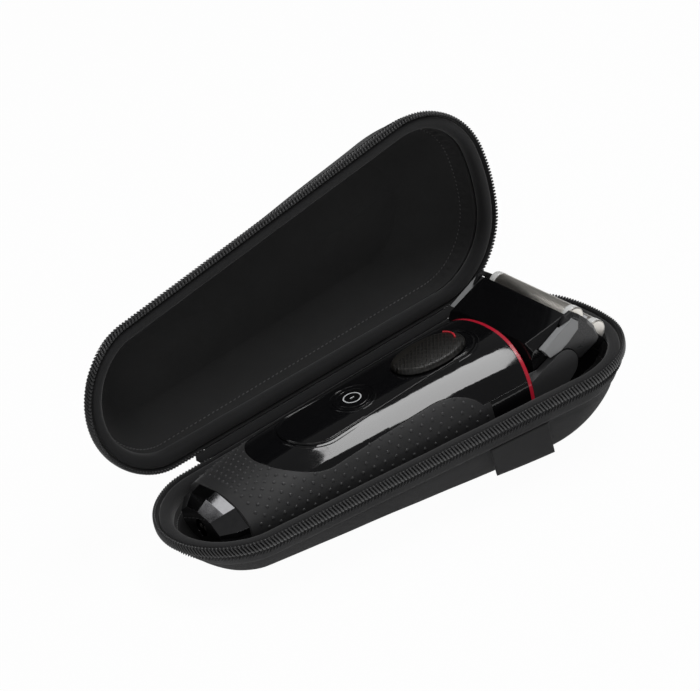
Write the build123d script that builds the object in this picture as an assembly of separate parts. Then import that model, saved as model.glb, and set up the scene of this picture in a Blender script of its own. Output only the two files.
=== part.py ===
from build123d import *
import functools
import math
import os

# Electric shaver in its zipped hard case. Millimetres.
# Case frame: x along the case (narrow end -x, wide end +x), y across it (hinge side +y),
# z = 0 on the plane where the two halves meet. The finished parts are turned at the end so that
# the base's flat bottom lies on z = 0, because one end of the case is deeper than the other.

# ---- case sizes ----
CASE_LENGTH = 195.0
WIDE_END_RADIUS = 78.0
WIDE_CORNER_RADIUS = 33.5
NARROW_END_RADIUS = 32.0
NARROW_CORNER_RADIUS = 24.0
SIDE_HALF_WIDTH = 36.15          # at mid length
SIDE_FLARE = 0.073               # sideways growth per mm of length
HALF_DEPTH = 28.5                # one half of the case, at mid length
DEPTH_TAPER = 0.08               # depth growth per mm of length
BOTTOM_INSET = 19.0              # how far the flat bottom's edge lies inside the zip line
ROUNDING_POWER = 1.4
WIDE_TUCK = 8.0                  # how much further in the wide end's bottom edge lies
WIDE_SOFTENING = 6.0             # how much rounder its corners are than the zip line's
NARROW_TUCK = 0.5
NARROW_SOFTENING = 3.0
TUCK_POWER = 1.6
FORM_LEVELS = (0.0, 0.2, 0.4, 0.6, 0.8, 0.93, 1.0)
LID_OPEN_ANGLE = 91.5

SHELL_WALL = 2.4
SHELL_FLOOR = 3.0
LINING_WALL = 0.8
LINING_FLOOR = 1.0
LAYER_GAP = 0.1
LIP_WIDTH = 5.2
LIP_HEIGHT = 5.7
LIP_ROUND = 2.4
MOUTH_GAP = 0.8                  # from the meeting plane to the top of the lip

TAPE_WALL = 0.7
TAPE_TOP = 1.2
TAPE_BOTTOM = 9.0
TOOTH_PITCH = 2.2
TOOTH_REACH = 0.7
TOOTH_ROOT = 0.1
TOOTH_TOP = 0.2
TOOTH_HEIGHT = 3.0
TOOTH_BACKING = 0.65
STOP_LENGTH = 2.4
STOP_CRIMP = 1.9
STOP_WALL = 1.2
STOP_ROUND = 0.25

HINGE_START = -58.0
HINGE_END = 56.0
HINGE_OFFSET = 1.0               # hinge line outside the zip line
HINGE_BEAD = 1.15
HINGE_BEAD_END = 1.0             # how much shorter than the strip at each end
STRIP_WALL = 0.7
STRIP_PROUD = 0.1                # how far it stands out from the zip line
STRIP_TOP = 0.9
STRIP_BOTTOM = 12.0

SLIDER_ANGLE = 28.0              # round the wide corner from the straight side
SLIDER_LENGTH = 8.0
SLIDER_HEIGHT = 6.0
SLIDER_WALL = 1.4
SLIDER_GAP = 0.2
SLIDER_ROUND = 1.6
EAR_RADIUS = 1.2
EAR_WALL = 0.9
PULLER_DROP = 2.4                # from the slider's top to the puller's pin
PULLER_LENGTH = 17.0
PULLER_WIDTH = 5.6
PULLER_WALL = 1.1
PULLER_ROUND = 1.7
PULLER_SLOT = (2.8, 3.0)
PULLER_SLOT_END = 4.0            # from the slot's middle to the free end
PULLER_KNUCKLE = 2.6
PULLER_PIN_RADIUS = 0.5
PULLER_PIN_FIT = 0.06

TAG_WIDTH = 24.0
TAG_HEIGHT = 11.5
TAG_WALL = 0.8
TAG_ROUND = 0.3
TAG_GAP = 0.2                    # under the zip tape
TAG_MIDDLE = 29.0

# ---- shaver sizes ----
# distance along the shaver, half width, top and bottom of its rounded sections
BODY_STATIONS = (
    (-74.0, 20.2, 7.0, -13.5),
    (-66.0, 21.6, 9.3, -16.8),
    (-50.0, 23.2, 12.0, -19.2),
    (-25.0, 25.2, 13.6, -21.6),
    (0.0, 26.8, 14.6, -22.8),
    (25.0, 28.0, 15.2, -23.2),
    (45.0, 28.4, 14.8, -22.4),
    (60.0, 28.2, 14.0, -21.0),
)
SECTION_POWER = 2.3
SECTION_POINTS = 16
SHAVER_DROP = 0.45               # how far the shaver sinks until it lies on the lining
SKIN_WALL = 2.0                  # front panel and rubber grip
HOUSING_WALL = 1.6
SEAM = 0.1                       # between neighbouring shaver pieces
FOOT_WALL = 3.0

BODY_END_X = 48.1
BODY_END_RADIUS = 95.0           # bulge of the body's head end, seen from above
TRIM_WIDTH = 1.4
TRIM_DEPTH = 2.5

PANEL_TIP_X = -57.0
PANEL_SIDE_X = -37.0
PANEL_HALF_WIDTH = 20.5
PANEL_FLARE_X = 6.0
PANEL_FLARE_RADIUS = 29.0
PANEL_FLARE_ANGLE = 50.0
PART_LINE_Z = 3.0
GRIP_END_X = 27.0
WINDOW_HALF_WIDTH = 12.0         # bare strip of the back that carries the trimmer
WINDOW_START_X = -6.0

ISLAND_BACK_X = -31.0
ISLAND_BACK_RADIUS = 13.0
ISLAND_FRONT_X = 31.0
ISLAND_FRONT_RADIUS = 10.0
ISLAND_RISE = 0.35
ISLAND_WALL = 1.2

POWER_X = -13.0
POWER_RADIUS = 7.4
POWER_RISE = 0.5
POWER_WALL = 1.6
POWER_TRAVEL = 0.8
POWER_STEM_RADIUS = 2.4
BUTTON_FIT = 0.08
BUTTON_GAP = 0.2                 # between the pressed stem and the circuit board
STEM_BITE = 0.3                  # how far the stem reaches into the button's wall

LOCK_X = 21.0
LOCK_LENGTH = 30.0
LOCK_WIDTH = 14.0
LOCK_WALL = 2.0
LOCK_GAP = 0.3
LOCK_TRAVEL = 3.0
LOCK_STEM = (6.0, 3.4)
LOCK_STEM_BOTTOM = 8.5
LOCK_RIB_START = 5.0
LOCK_RIB_LENGTH = 9.2
LOCK_RIB_PITCH = 2.2
LOCK_RIB_WIDTH = 0.8
LOCK_RIB_DEPTH = 0.5

FOOT_LENGTH = 8.8
FOOT_SIDES = 10
FOOT_STEPS = ((0.0, 0.98, 0.0), (0.5, 0.9, 0.2), (1.0, 0.66, 0.6))   # share of length, size, drop
SOCKET_RADIUS = 3.4
SOCKET_DEPTH = 3.0
CONTACT_RADIUS = 0.9
CONTACT_DROP = 0.6               # below the socket's rim
CONTACT_SPACING = 2.8

CHASSIS_TOP = -10.0
CHASSIS_WALL = 2.0
CHASSIS_WIDTH = 30.0
CHASSIS_START = -60.0
CHASSIS_END = 40.0
BOSS_RADIUS = 3.0
BOSS_PLACES = (-45.0, 0.0, 30.0)
BATTERY_RADIUS = 7.1
BATTERY_LENGTH = 50.0
BATTERY_START = -56.0
BATTERY_NUB_RADIUS = 2.8
BATTERY_NUB_LENGTH = 1.2
MOTOR_RADIUS = 7.6
MOTOR_LENGTH = 34.0
MOTOR_START = 4.0
SHAFT_RADIUS = 1.1
SHAFT_REACH = 6.0
BOARD_LENGTH = 76.0
BOARD_START = -40.0
BOARD_WIDTH = 25.0
BOARD_BOTTOM = 5.6
BOARD_WALL = 1.2
POST_RADIUS = 1.5
POST_SIDE = 10.9
POST_INSET = 2.0                 # from the board's ends

TRIMMER_START = 2.0
TRIMMER_LENGTH = 24.0
TRIMMER_WIDTH = 18.0
TRIMMER_TOP = -20.9
TRIMMER_WALL = 1.6
TRIMMER_TRAVEL = 8.0
TRIMMER_GAP = 0.3
TRIMMER_ROUND = 2.0
TRIMMER_RIBS = 5
TRIMMER_RIB_START = -6.0         # from the slide's middle
TRIMMER_RIB_PITCH = 1.8
TRIMMER_RIB_WIDTH = 0.8
TRIMMER_RIB_LENGTH = 10.8
TRIMMER_RIB_DEPTH = 0.5
BLADE_LENGTH = 5.0
BLADE_WIDTH = 16.0
BLADE_WALL = 1.0
BLADE_TEETH = 8
BLADE_NOTCH_DEPTH = 2.0
BLADE_NOTCH_WIDTH = 0.9

# ---- shaver head sizes: t across the foils, h along the way they face ----
PIVOT_REACH = 16.2             # from the side corner of the body's end to the swivel axis
PIVOT_Z = 1.5
HEAD_LEAN = 48.0
SWIVEL_LIMIT = 15.0
SWIVEL_CUT_RADIUS = 15.1
ARM_INSET = 0.4                  # of the arms, from the body's widest section
ARM_GAP = 0.3
ARM_WALL = 2.9
ARM_BOSS_RADIUS = 6.2
ARM_ROOT_X = 44.0
ARM_ROOT_Z = -8.0
ARM_ROOT_RADIUS = 9.0
NECK_INSET = 1.2
NECK_END_X = 58.0
NECK_TOP_Z = 6.5
PLUG_START_X = 42.0
PLUG_LENGTH = 12.0
PIVOT_PIN_RADIUS = 2.5
PIVOT_PIN_LENGTH = 2.4
PIVOT_FIT = 0.06
HEAD_PROFILE = (
    (-14.9, 0.2), (-8.4, 16.3), (-7.4, 16.3), (-7.4, 11.1), (15.8, 11.1),
    (15.8, 6.0), (11.0, -3.5), (2.0, -9.5), (-8.0, -8.5), (-13.4, -4.0),
)
# the plane that bevels the front face's side edge: (t, y, h) of three of its points
FACE_BEVEL = ((-8.4, 23.8, 16.3), (-14.9, 19.6, 0.2), (-13.7, 24.8, 0.7))
COVER_PROFILE = (
    (-10.2, 15.6), (-8.7, 18.3), (-4.6, 18.9), (0.4, 18.9), (5.2, 18.2), (10.1, 15.7), (10.4, 13.5),
    (6.7, 4.5), (0.0, 2.0), (-9.0, 6.0),
)
COVER_WALL = 2.4
COVER_BEVEL = 1.4
COVER_GAP = 0.3
RELEASE_PROFILE = (
    (-12.9, 0.7), (-8.5, -0.1), (-5.4, 4.1), (-4.1, 8.1), (-3.0, 14.1), (-4.9, 16.5), (-8.2, 16.2),
)
RELEASE_RISE = 0.6
RELEASE_TRAVEL = 1.0
RELEASE_GAP = 0.25

FOIL_RADIUS = 4.1
FOIL_WALL = 0.5
FOIL_INSET = 1.6                 # from the head's side
FOIL_CENTRE_H = 17.2
FOIL_END_ROUND = 0.7
FOIL_LEG = 3.2
FOIL_FRONT_T = -2.2
FOIL_REAR_T = 10.7
FOIL_CAP_WALL = 0.8
FLOAT_TRAVEL = 2.2
SLOT_GAP = 0.3
CASSETTE_T = (-7.1, 15.6)
CASSETTE_H = (11.3, 16.5)
CASSETTE_INSET = 0.3
CASSETTE_ROUND = 1.0
CUTTER_RADIUS = 3.4
CUTTER_INSET = 4.0
CUTTER_FOOT = 2.4
CUTTER_TRAVEL = 1.2
GUARD_T = 4.25
GUARD_WIDTH = 2.2
GUARD_INSET = 3.8
GUARD_BOTTOM_H = 13.7
GUARD_TOP_H = 20.1
GUARD_TEETH = 14
GUARD_TOOTH_DEPTH = 1.2
GUARD_NOTCH_WIDTH = 1.2
BRIDGE_H = 3.3
BRIDGE_WALL = 2.0
BRIDGE_HALF = 9.0
BRIDGE_END = 2.0                 # beyond the outer pins
BRIDGE_PIN_RADIUS = 1.2
BRIDGE_PIN_TOP_H = 12.5
DRIVE_ROOM = ((-6.0, 3.0), (-6.0, 14.1), (13.0, 14.1), (13.0, 3.0))
HEAD_END_WALL = 4.0

# ---- worked out from the case sizes ----
FLARE_ANGLE = math.degrees(math.atan(SIDE_FLARE))
TAPER_ANGLE = math.degrees(math.atan(DEPTH_TAPER))
SHELL_INSET = TAPE_WALL * 2 + LAYER_GAP
LINING_INSET = SHELL_INSET + SHELL_WALL + LAYER_GAP
CAVITY_INSET = LINING_INSET + LINING_WALL
LIP_BOTTOM = MOUTH_GAP + LIP_HEIGHT
SIDE_DIR = Vector(math.cos(math.radians(FLARE_ANGLE)), math.sin(math.radians(FLARE_ANGLE)))
SIDE_IN = Vector(SIDE_DIR.Y, -SIDE_DIR.X)
HEAD_HALF = max(width for _, width, _, _ in BODY_STATIONS) - ARM_INSET - ARM_WALL - ARM_GAP
PIVOT_X = BODY_END_X - BODY_END_RADIUS + math.sqrt(BODY_END_RADIUS**2 - HEAD_HALF**2) + PIVOT_REACH
CASSETTE_HALF = HEAD_HALF - CASSETTE_INSET
FOIL_HALF = HEAD_HALF - FOIL_INSET
CUTTER_HALF = HEAD_HALF - CUTTER_INSET
GUARD_HALF = HEAD_HALF - GUARD_INSET
BIG = 400.0                      # more than the whole part
TALL = 40.0                      # more than the shaver's depth
CLEAR = 1.0                      # how far a cutting shape reaches past what it cuts
UP = Vector(0, 0, 1)


def end_centres(end_x, end_radius, corner_radius, sign):
    """Centres of an end's nose arc and of its corner arc on the +y side."""
    nose = Vector(end_x - sign * end_radius, 0)
    start = Vector(0, SIDE_HALF_WIDTH) + SIDE_IN * corner_radius
    away = start - nose
    along = away.dot(SIDE_DIR)
    reach = end_radius - corner_radius
    step = -along + sign * math.sqrt(along**2 - away.dot(away) + reach**2)
    return nose, start + SIDE_DIR * step


def flipped(point):
    return Vector(point.X, -point.Y)


def corner_arc(end_x, end_radius, radius, inset, sign):
    """Ends and middle of a +y corner arc, from the nose arc to the straight side."""
    nose, corner = end_centres(end_x, end_radius, radius, sign)
    away = (corner - nose).normalized()
    outward = SIDE_IN * -1
    middle = (away + outward).normalized()
    return [corner + way * (radius - inset) for way in (away, middle, outward)]


def outline(inset, tuck=0.0):
    """The case's outline as a face on z = 0, set in from the zip line, its ends tucked in by a share."""
    narrow_x = NARROW_TUCK * tuck - CASE_LENGTH / 2
    wide_x = CASE_LENGTH / 2 - WIDE_TUCK * tuck
    narrow_radius = NARROW_CORNER_RADIUS + NARROW_SOFTENING * tuck
    wide_radius = WIDE_CORNER_RADIUS + WIDE_SOFTENING * tuck
    narrow = corner_arc(narrow_x, NARROW_END_RADIUS, narrow_radius, inset, -1)
    wide = corner_arc(wide_x, WIDE_END_RADIUS, wide_radius, inset, 1)
    tip_narrow = Vector(narrow_x + inset, 0)
    tip_wide = Vector(wide_x - inset, 0)
    edges = [
        Edge.make_three_point_arc(flipped(narrow[0]), tip_narrow, narrow[0]),
        Edge.make_three_point_arc(*narrow),
        Edge.make_line(narrow[2], wide[2]),
        Edge.make_three_point_arc(wide[2], wide[1], wide[0]),
        Edge.make_three_point_arc(wide[0], tip_wide, flipped(wide[0])),
        Edge.make_three_point_arc(flipped(wide[0]), flipped(wide[1]), flipped(wide[2])),
        Edge.make_line(flipped(wide[2]), flipped(narrow[2])),
        Edge.make_three_point_arc(flipped(narrow[2]), flipped(narrow[1]), flipped(narrow[0])),
    ]
    return Face(Wire(edges))


@functools.cache
def bowl(inset, floor):
    """The solid inside the base's surface that starts inset from the zip line and ends floor
    above the outside bottom."""
    sections = []
    for level in FORM_LEVELS:
        curl = 1 - (1 - level**ROUNDING_POWER) ** (1 / ROUNDING_POWER)
        section = outline(inset + (BOTTOM_INSET - inset) * curl, curl**TUCK_POWER)
        tilt = math.degrees(math.atan(level * DEPTH_TAPER))
        sections.append(Location((0, 0, -level * (HALF_DEPTH - floor)), (0, tilt, 0)) * section)
    return Solid.make_loft([section.outer_wire() for section in sections])


def slab(top, bottom):
    """All the space between two depths below the meeting plane."""
    return Pos(0, 0, -(top + bottom) / 2) * Box(BIG, BIG, bottom - top)


def band(inset, wall, top, bottom):
    """A strip that lies on the base's side wall all the way round."""
    return (bowl(inset, 0) - bowl(inset + wall, 0)) & slab(top, bottom)


def case_shell():
    return (bowl(SHELL_INSET, 0) - bowl(SHELL_INSET + SHELL_WALL, SHELL_FLOOR)) & slab(LIP_BOTTOM, BIG / 2)


def case_lining():
    floor = SHELL_FLOOR + LAYER_GAP
    form = bowl(LINING_INSET, floor) - bowl(CAVITY_INSET, floor + LINING_FLOOR)
    return form & slab(LIP_BOTTOM, BIG / 2)


def case_lip():
    ring = outline(SHELL_INSET) - outline(SHELL_INSET + LIP_WIDTH)
    roll = Pos(0, 0, -LIP_BOTTOM) * extrude(ring, LIP_HEIGHT, UP)
    return fillet(roll.edges().group_by(Axis.Z)[-1], LIP_ROUND) & bowl(SHELL_INSET, 0)


def zip_tape():
    return band(TAPE_WALL, TAPE_WALL, TAPE_TOP, TAPE_BOTTOM)


ZIP_WIRE = outline(0).outer_wire()
ZIP_LENGTH = ZIP_WIRE.length


def side_point(x, inset=0.0):
    """A point of the +y straight side."""
    return Vector(x, SIDE_HALF_WIDTH + SIDE_FLARE * x) + SIDE_IN * inset


def zip_distance(x):
    """Distance along the zip line of the hinge-side point at x."""
    return ZIP_WIRE.param_at_point(side_point(x)) * ZIP_LENGTH


def zip_point(distance, inset):
    """A point that lies inset from the zip line, at a distance along it."""
    share = (distance / ZIP_LENGTH) % 1
    inward = ZIP_WIRE.tangent_at(share).cross(UP)
    return ZIP_WIRE.position_at(share) + inward * inset


def zip_teeth():
    """One half of the zip: a toothed strip from the hinge's wide end round to its narrow end."""
    start = zip_distance(HINGE_END) + STOP_LENGTH
    end = zip_distance(HINGE_START) + ZIP_LENGTH - STOP_LENGTH
    count = round((end - start) / TOOTH_PITCH)
    pitch = (end - start) / count
    outer = []
    inner = []
    for tooth in range(count):
        outer.append(zip_point(start + tooth * pitch, -TOOTH_ROOT))
        outer.append(zip_point(start + (tooth + 0.5) * pitch, -TOOTH_REACH))
        inner.append(zip_point(start + tooth * pitch, TOOTH_BACKING))
    outer.append(zip_point(end, -TOOTH_ROOT))
    inner.append(zip_point(end, TOOTH_BACKING))
    strip = Face(Wire.make_polygon(outer + inner[::-1], close=True))
    return Pos(0, 0, -TOOTH_TOP - TOOTH_HEIGHT) * extrude(strip, TOOTH_HEIGHT, UP)


def zip_stops():
    """The two crimped stops at the ends of one half of the zip."""
    stops = []
    for x, way in ((HINGE_START, -1), (HINGE_END, 1)):
        middle = side_point(x + way * STOP_LENGTH / 2, 0)
        block = Box(STOP_CRIMP, STOP_WALL, TOOTH_HEIGHT)
        block = fillet(block.edges().filter_by(Axis.Z), STOP_ROUND)
        place = Location((middle.X, middle.Y, -TOOTH_TOP - TOOTH_HEIGHT / 2), (0, 0, FLARE_ANGLE))
        stops.append(place * block)
    return Compound(children=stops)


def along_hinge(shape, x=0.0, inset=0.0, z=0.0):
    """Places a shape at a point of the hinge side, turned to run along it."""
    point = side_point(x, inset)
    return Location((point.X, point.Y, z), (0, 0, FLARE_ANGLE)) * shape


def hinge_strip():
    """Fabric strip that joins the case halves where the zip stops, on the base's wall."""
    length = HINGE_END - HINGE_START
    strip = bowl(-STRIP_PROUD, 0) - bowl(STRIP_WALL - STRIP_PROUD, 0)
    window = Box(length, SIDE_HALF_WIDTH, STRIP_BOTTOM - STRIP_TOP)
    middle = (HINGE_START + HINGE_END) / 2
    return strip & along_hinge(window, middle, 0, -(STRIP_TOP + STRIP_BOTTOM) / 2)


def hinge_fold():
    length = HINGE_END - HINGE_START - 2 * HINGE_BEAD_END
    bead = Rot(0, 90, 0) * Cylinder(HINGE_BEAD, length)
    return along_hinge(bead, (HINGE_START + HINGE_END) / 2, -HINGE_OFFSET)


def slider_place():
    """The slider's place on the zip line: z up, y out of the case, x along the zip."""
    turn = FLARE_ANGLE - SLIDER_ANGLE
    outward = Vector(0, 1).rotate(Axis.Z, turn)
    _, corner = end_centres(CASE_LENGTH / 2, WIDE_END_RADIUS, WIDE_CORNER_RADIUS, 1)
    spot = corner + outward * WIDE_CORNER_RADIUS
    return Location((spot.X, spot.Y, -SLIDER_GAP), (0, 0, turn))


def slider_plate():
    """Outside plate of the zip slider, with two ears and the pin that the puller hangs on."""
    back = TOOTH_REACH + SLIDER_GAP
    plate = fillet(Box(SLIDER_LENGTH, SLIDER_WALL, SLIDER_HEIGHT).edges().filter_by(Axis.Y), SLIDER_ROUND)
    plate = Pos(0, back + SLIDER_WALL / 2, -SLIDER_HEIGHT / 2) * plate
    out, down = puller_axis()
    ear = Pos(0, out, -down) * Rot(0, 90, 0) * Cylinder(EAR_RADIUS, EAR_WALL)
    root = EAR_RADIUS + SLIDER_GAP
    ear += Pos(0, out - root / 2, -down) * Box(EAR_WALL, root, 2 * EAR_RADIUS)
    for way in (-1, 1):
        plate += Pos(way * (PULLER_KNUCKLE / 2 + SLIDER_GAP + EAR_WALL / 2), 0, 0) * ear
    pin_length = PULLER_KNUCKLE + 2 * SLIDER_GAP + EAR_WALL
    return plate + Pos(0, out, -down) * Rot(0, 90, 0) * Cylinder(PULLER_PIN_RADIUS, pin_length)


def puller_axis():
    """How far the puller's pin lies out of the zip line and below the slider's top."""
    return TOOTH_REACH + SLIDER_GAP + SLIDER_WALL + EAR_RADIUS + SLIDER_GAP / 2, PULLER_DROP


def puller_plate():
    """Puller that hangs on the slider's pin."""
    out, down = puller_axis()
    blade = Box(PULLER_WIDTH, PULLER_WALL, PULLER_LENGTH)
    blade = fillet(blade.edges().filter_by(Axis.Y), PULLER_ROUND)
    width, height = PULLER_SLOT
    blade -= Pos(0, 0, -PULLER_LENGTH / 2 + PULLER_SLOT_END) * Box(width, PULLER_WALL * 2, height)
    blade = Pos(0, 0, -PULLER_LENGTH / 2 - EAR_RADIUS - SLIDER_GAP) * blade
    neck = Pos(0, 0, -EAR_RADIUS) * Box(PULLER_KNUCKLE, PULLER_WALL, 2 * EAR_RADIUS)
    knuckle = Rot(0, 90, 0) * Cylinder(EAR_RADIUS, PULLER_KNUCKLE)
    bore = Rot(0, 90, 0) * Cylinder(PULLER_PIN_RADIUS + PULLER_PIN_FIT, PULLER_KNUCKLE * 2)
    return Pos(0, out, -down) * (blade + neck + knuckle - bore)


def side_tag():
    """Blank folded label sewn in under the zip tape, on the front side."""
    label = Box(TAG_WIDTH, TAG_WALL, TAG_HEIGHT)
    label = fillet(label.edges().filter_by(Axis.X), TAG_ROUND)
    spot = flipped(side_point(TAG_MIDDLE, TAPE_WALL * 2 + TAG_WALL))
    return Location((spot.X, spot.Y, -TAPE_BOTTOM - TAG_GAP - TAG_HEIGHT / 2), (0, 0, -FLARE_ANGLE)) * label


# ---- shaver body ----
def section(x, half_width, top, bottom):
    """A rounded section of the shaver across x."""
    middle = (top + bottom) / 2
    half_height = (top - bottom) / 2
    points = []
    for step in range(SECTION_POINTS):
        angle = 2 * math.pi * step / SECTION_POINTS
        side = math.copysign(abs(math.cos(angle)) ** (2 / SECTION_POWER), math.cos(angle))
        rise = math.copysign(abs(math.sin(angle)) ** (2 / SECTION_POWER), math.sin(angle))
        points.append(Vector(x, half_width * side, middle + half_height * rise))
    return Wire([Edge.make_spline(points, periodic=True)])


@functools.cache
def body_form(inset):
    """The shaver's body as one solid, inset from its outside."""
    return Solid.make_loft(
        [section(x, width - inset, top - inset, bottom + inset) for x, width, top, bottom in BODY_STATIONS]
    )


def between(inset, deeper):
    return body_form(inset) - body_form(deeper)


def past_end(offset):
    """All the space beyond the body's bulged head end."""
    centre = BODY_END_X - BODY_END_RADIUS
    block = Pos(BIG / 2, 0, 0) * Box(BIG, BIG, BIG)
    return block - Pos(centre, 0, 0) * Cylinder(BODY_END_RADIUS + offset, BIG)


def swivel_room(half):
    """The space that the head's round lower edge turns in."""
    return Pos(PIVOT_X, 0, PIVOT_Z) * Rot(90, 0, 0) * Cylinder(SWIVEL_CUT_RADIUS, 2 * half)


def slot_face(x_a, radius_a, x_b, radius_b):
    """A slot with a round end at each x, tapered where the radii differ."""
    lean = math.asin((radius_a - radius_b) / (x_b - x_a))
    up = Vector(math.sin(lean), math.cos(lean))
    a = Vector(x_a, 0)
    b = Vector(x_b, 0)
    edges = [
        Edge.make_line(a + up * radius_a, b + up * radius_b),
        Edge.make_three_point_arc(b + up * radius_b, b + Vector(radius_b, 0), flipped(b + up * radius_b)),
        Edge.make_line(flipped(b + up * radius_b), flipped(a + up * radius_a)),
        Edge.make_three_point_arc(flipped(a + up * radius_a), a - Vector(radius_a, 0), a + up * radius_a),
    ]
    return Face(Wire(edges))


def above(face, low=0.0):
    """The space over a plan outline."""
    return Pos(0, 0, low) * extrude(face, TALL, UP)


def panel_region(grow):
    """The space that holds the front panel."""
    half = PANEL_HALF_WIDTH + grow
    tip = Vector(PANEL_TIP_X - grow, 0)
    side = Vector(PANEL_SIDE_X, half)
    flare = Vector(PANEL_FLARE_X, half)
    radius = PANEL_FLARE_RADIUS - grow
    centre = flare + Vector(0, radius)
    middle = centre - Vector(0, radius).rotate(Axis.Z, PANEL_FLARE_ANGLE / 2)
    end = centre - Vector(0, radius).rotate(Axis.Z, PANEL_FLARE_ANGLE)
    corner = Vector(end.X, BIG / 2)
    far = Vector(BIG / 2, BIG / 2)
    edges = [
        Edge.make_three_point_arc(flipped(side), tip, side),
        Edge.make_line(side, flare),
        Edge.make_three_point_arc(flare, middle, end),
        Edge.make_line(end, corner),
        Edge.make_line(corner, far),
        Edge.make_line(far, flipped(far)),
        Edge.make_line(flipped(far), flipped(corner)),
        Edge.make_line(flipped(corner), flipped(end)),
        Edge.make_three_point_arc(flipped(end), flipped(middle), flipped(flare)),
        Edge.make_line(flipped(flare), flipped(side)),
    ]
    return above(Face(Wire(edges)), PART_LINE_Z - grow)


def grip_region(grow):
    """The space that holds the rubber grip."""
    region = Pos(GRIP_END_X + grow - BIG / 2, 0, 0) * Box(BIG, BIG, BIG)
    window = slot_face(WINDOW_START_X, WINDOW_HALF_WIDTH - grow, BIG / 2, WINDOW_HALF_WIDTH - grow)
    return region - panel_region(SEAM - grow) - above(window, -TALL)


def head_end_cut(offset):
    return past_end(offset) + swivel_room(HEAD_HALF + ARM_GAP)


def power_hole(extra):
    return Pos(POWER_X, 0, TALL / 2) * Cylinder(POWER_RADIUS + extra, TALL)


def lock_slot():
    length, width = LOCK_STEM
    room = Box(length + LOCK_TRAVEL + 2 * LOCK_GAP, width + 2 * LOCK_GAP, TALL)
    return Pos(LOCK_X - LOCK_TRAVEL / 2, 0, TALL / 2) * room


def island_face(grow):
    return slot_face(ISLAND_BACK_X, ISLAND_BACK_RADIUS + grow, ISLAND_FRONT_X, ISLAND_FRONT_RADIUS + grow)


def front_panel():
    """Gloss front cover of the shaver."""
    cover = between(0, SKIN_WALL) & panel_region(0)
    pocket = above(island_face(SEAM)) & between(-ISLAND_RISE, ISLAND_WALL + SEAM)
    return cover - pocket - head_end_cut(0) - power_hole(BUTTON_FIT) - lock_slot()


def control_panel():
    """Raised gloss island round the power button and the lock switch."""
    plate = between(-ISLAND_RISE, ISLAND_WALL) & above(island_face(0))
    return plate - power_hole(BUTTON_FIT) - lock_slot()


def rubber_grip():
    return (between(0, SKIN_WALL) & grip_region(0)) - head_end_cut(0)


def rear_housing():
    """Inner housing, bare at the back and beside the head, with the bosses for the chassis."""
    outside = body_form(0) - (between(-SEAM, SKIN_WALL + SEAM) & panel_region(SEAM))
    outside -= between(-SEAM, SKIN_WALL + SEAM) & grip_region(SEAM)
    hollow = body_form(SKIN_WALL + SEAM + HOUSING_WALL)
    foot_wall = Pos(BODY_STATIONS[0][0], 0, 0) * Box(2 * FOOT_WALL, BIG, BIG)
    housing = outside - (hollow - foot_wall)
    for x in BOSS_PLACES:
        boss = Pos(x, 0, CHASSIS_TOP - CHASSIS_WALL - TALL / 2) * Cylinder(BOSS_RADIUS, TALL)
        housing += boss & body_form(SKIN_WALL + HOUSING_WALL)
    housing -= power_stem_room() + lock_slot() + trimmer_room()
    return housing - head_end_cut(0)


def power_stem_room():
    return Pos(POWER_X, 0, TALL / 2) * Cylinder(POWER_STEM_RADIUS + LOCK_GAP, TALL)


def power_button():
    """Round push button that follows the crowned front."""
    cap = between(-POWER_RISE, POWER_WALL - POWER_RISE) & power_hole(0)
    stem_bottom = BOARD_BOTTOM + BOARD_WALL + POWER_TRAVEL + BUTTON_GAP
    stem = Pos(POWER_X, 0, stem_bottom + TALL / 2) * Cylinder(POWER_STEM_RADIUS, TALL)
    return cap + (stem & body_form(POWER_WALL - POWER_RISE - STEM_BITE))


def lock_switch():
    """Ribbed oval slider that locks the head."""
    low = ISLAND_RISE + LOCK_GAP
    reach = LOCK_LENGTH / 2 - LOCK_WIDTH / 2
    face = slot_face(LOCK_X - reach, LOCK_WIDTH / 2, LOCK_X + reach, LOCK_WIDTH / 2)
    pad = between(-low - LOCK_WALL, -low) & above(face)
    grooves = between(-low - LOCK_WALL - CLEAR, -low - LOCK_WALL + LOCK_RIB_DEPTH)
    count = int((LOCK_LENGTH - LOCK_WIDTH) / LOCK_RIB_PITCH)
    for rib in range(count):
        x = LOCK_X - LOCK_LENGTH / 2 + LOCK_RIB_START + rib * LOCK_RIB_PITCH
        pad -= grooves & (Pos(x, 0, TALL / 2) * Box(LOCK_RIB_WIDTH, LOCK_RIB_LENGTH, TALL))
    length, width = LOCK_STEM
    stem = Pos(LOCK_X, 0, LOCK_STEM_BOTTOM + TALL / 2) * Box(length, width, TALL)
    return pad + (stem & body_form(-low - LOCK_WALL / 2))


def trim_ring():
    """Thin coloured band round the body's head end."""
    ring = between(SEAM, SEAM + TRIM_DEPTH) & past_end(SEAM)
    return ring - past_end(SEAM + TRIM_WIDTH) - swivel_room(HEAD_HALF + ARM_GAP)


def end_cap():
    """Faceted foot with the charging socket."""
    x, width, top, bottom = BODY_STATIONS[0]
    middle = (top + bottom) / 2
    rings = []
    for share, size, drop in FOOT_STEPS:
        points = []
        for side in range(FOOT_SIDES):
            angle = 2 * math.pi * (side + 0.5) / FOOT_SIDES
            y = width * size * math.cos(angle)
            z = middle - drop + (top - bottom) / 2 * size * math.sin(angle)
            points.append(Vector(x - SEAM - share * FOOT_LENGTH, y, z))
        rings.append(Wire.make_polygon(points, close=True))
    foot = Solid.make_loft(rings, ruled=True)
    end_x = x - SEAM - FOOT_LENGTH
    middle -= FOOT_STEPS[-1][2]
    socket = Pos(end_x + SOCKET_DEPTH / 2, 0, middle) * Rot(0, 90, 0) * Cylinder(SOCKET_RADIUS, SOCKET_DEPTH)
    return foot - socket


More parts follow.
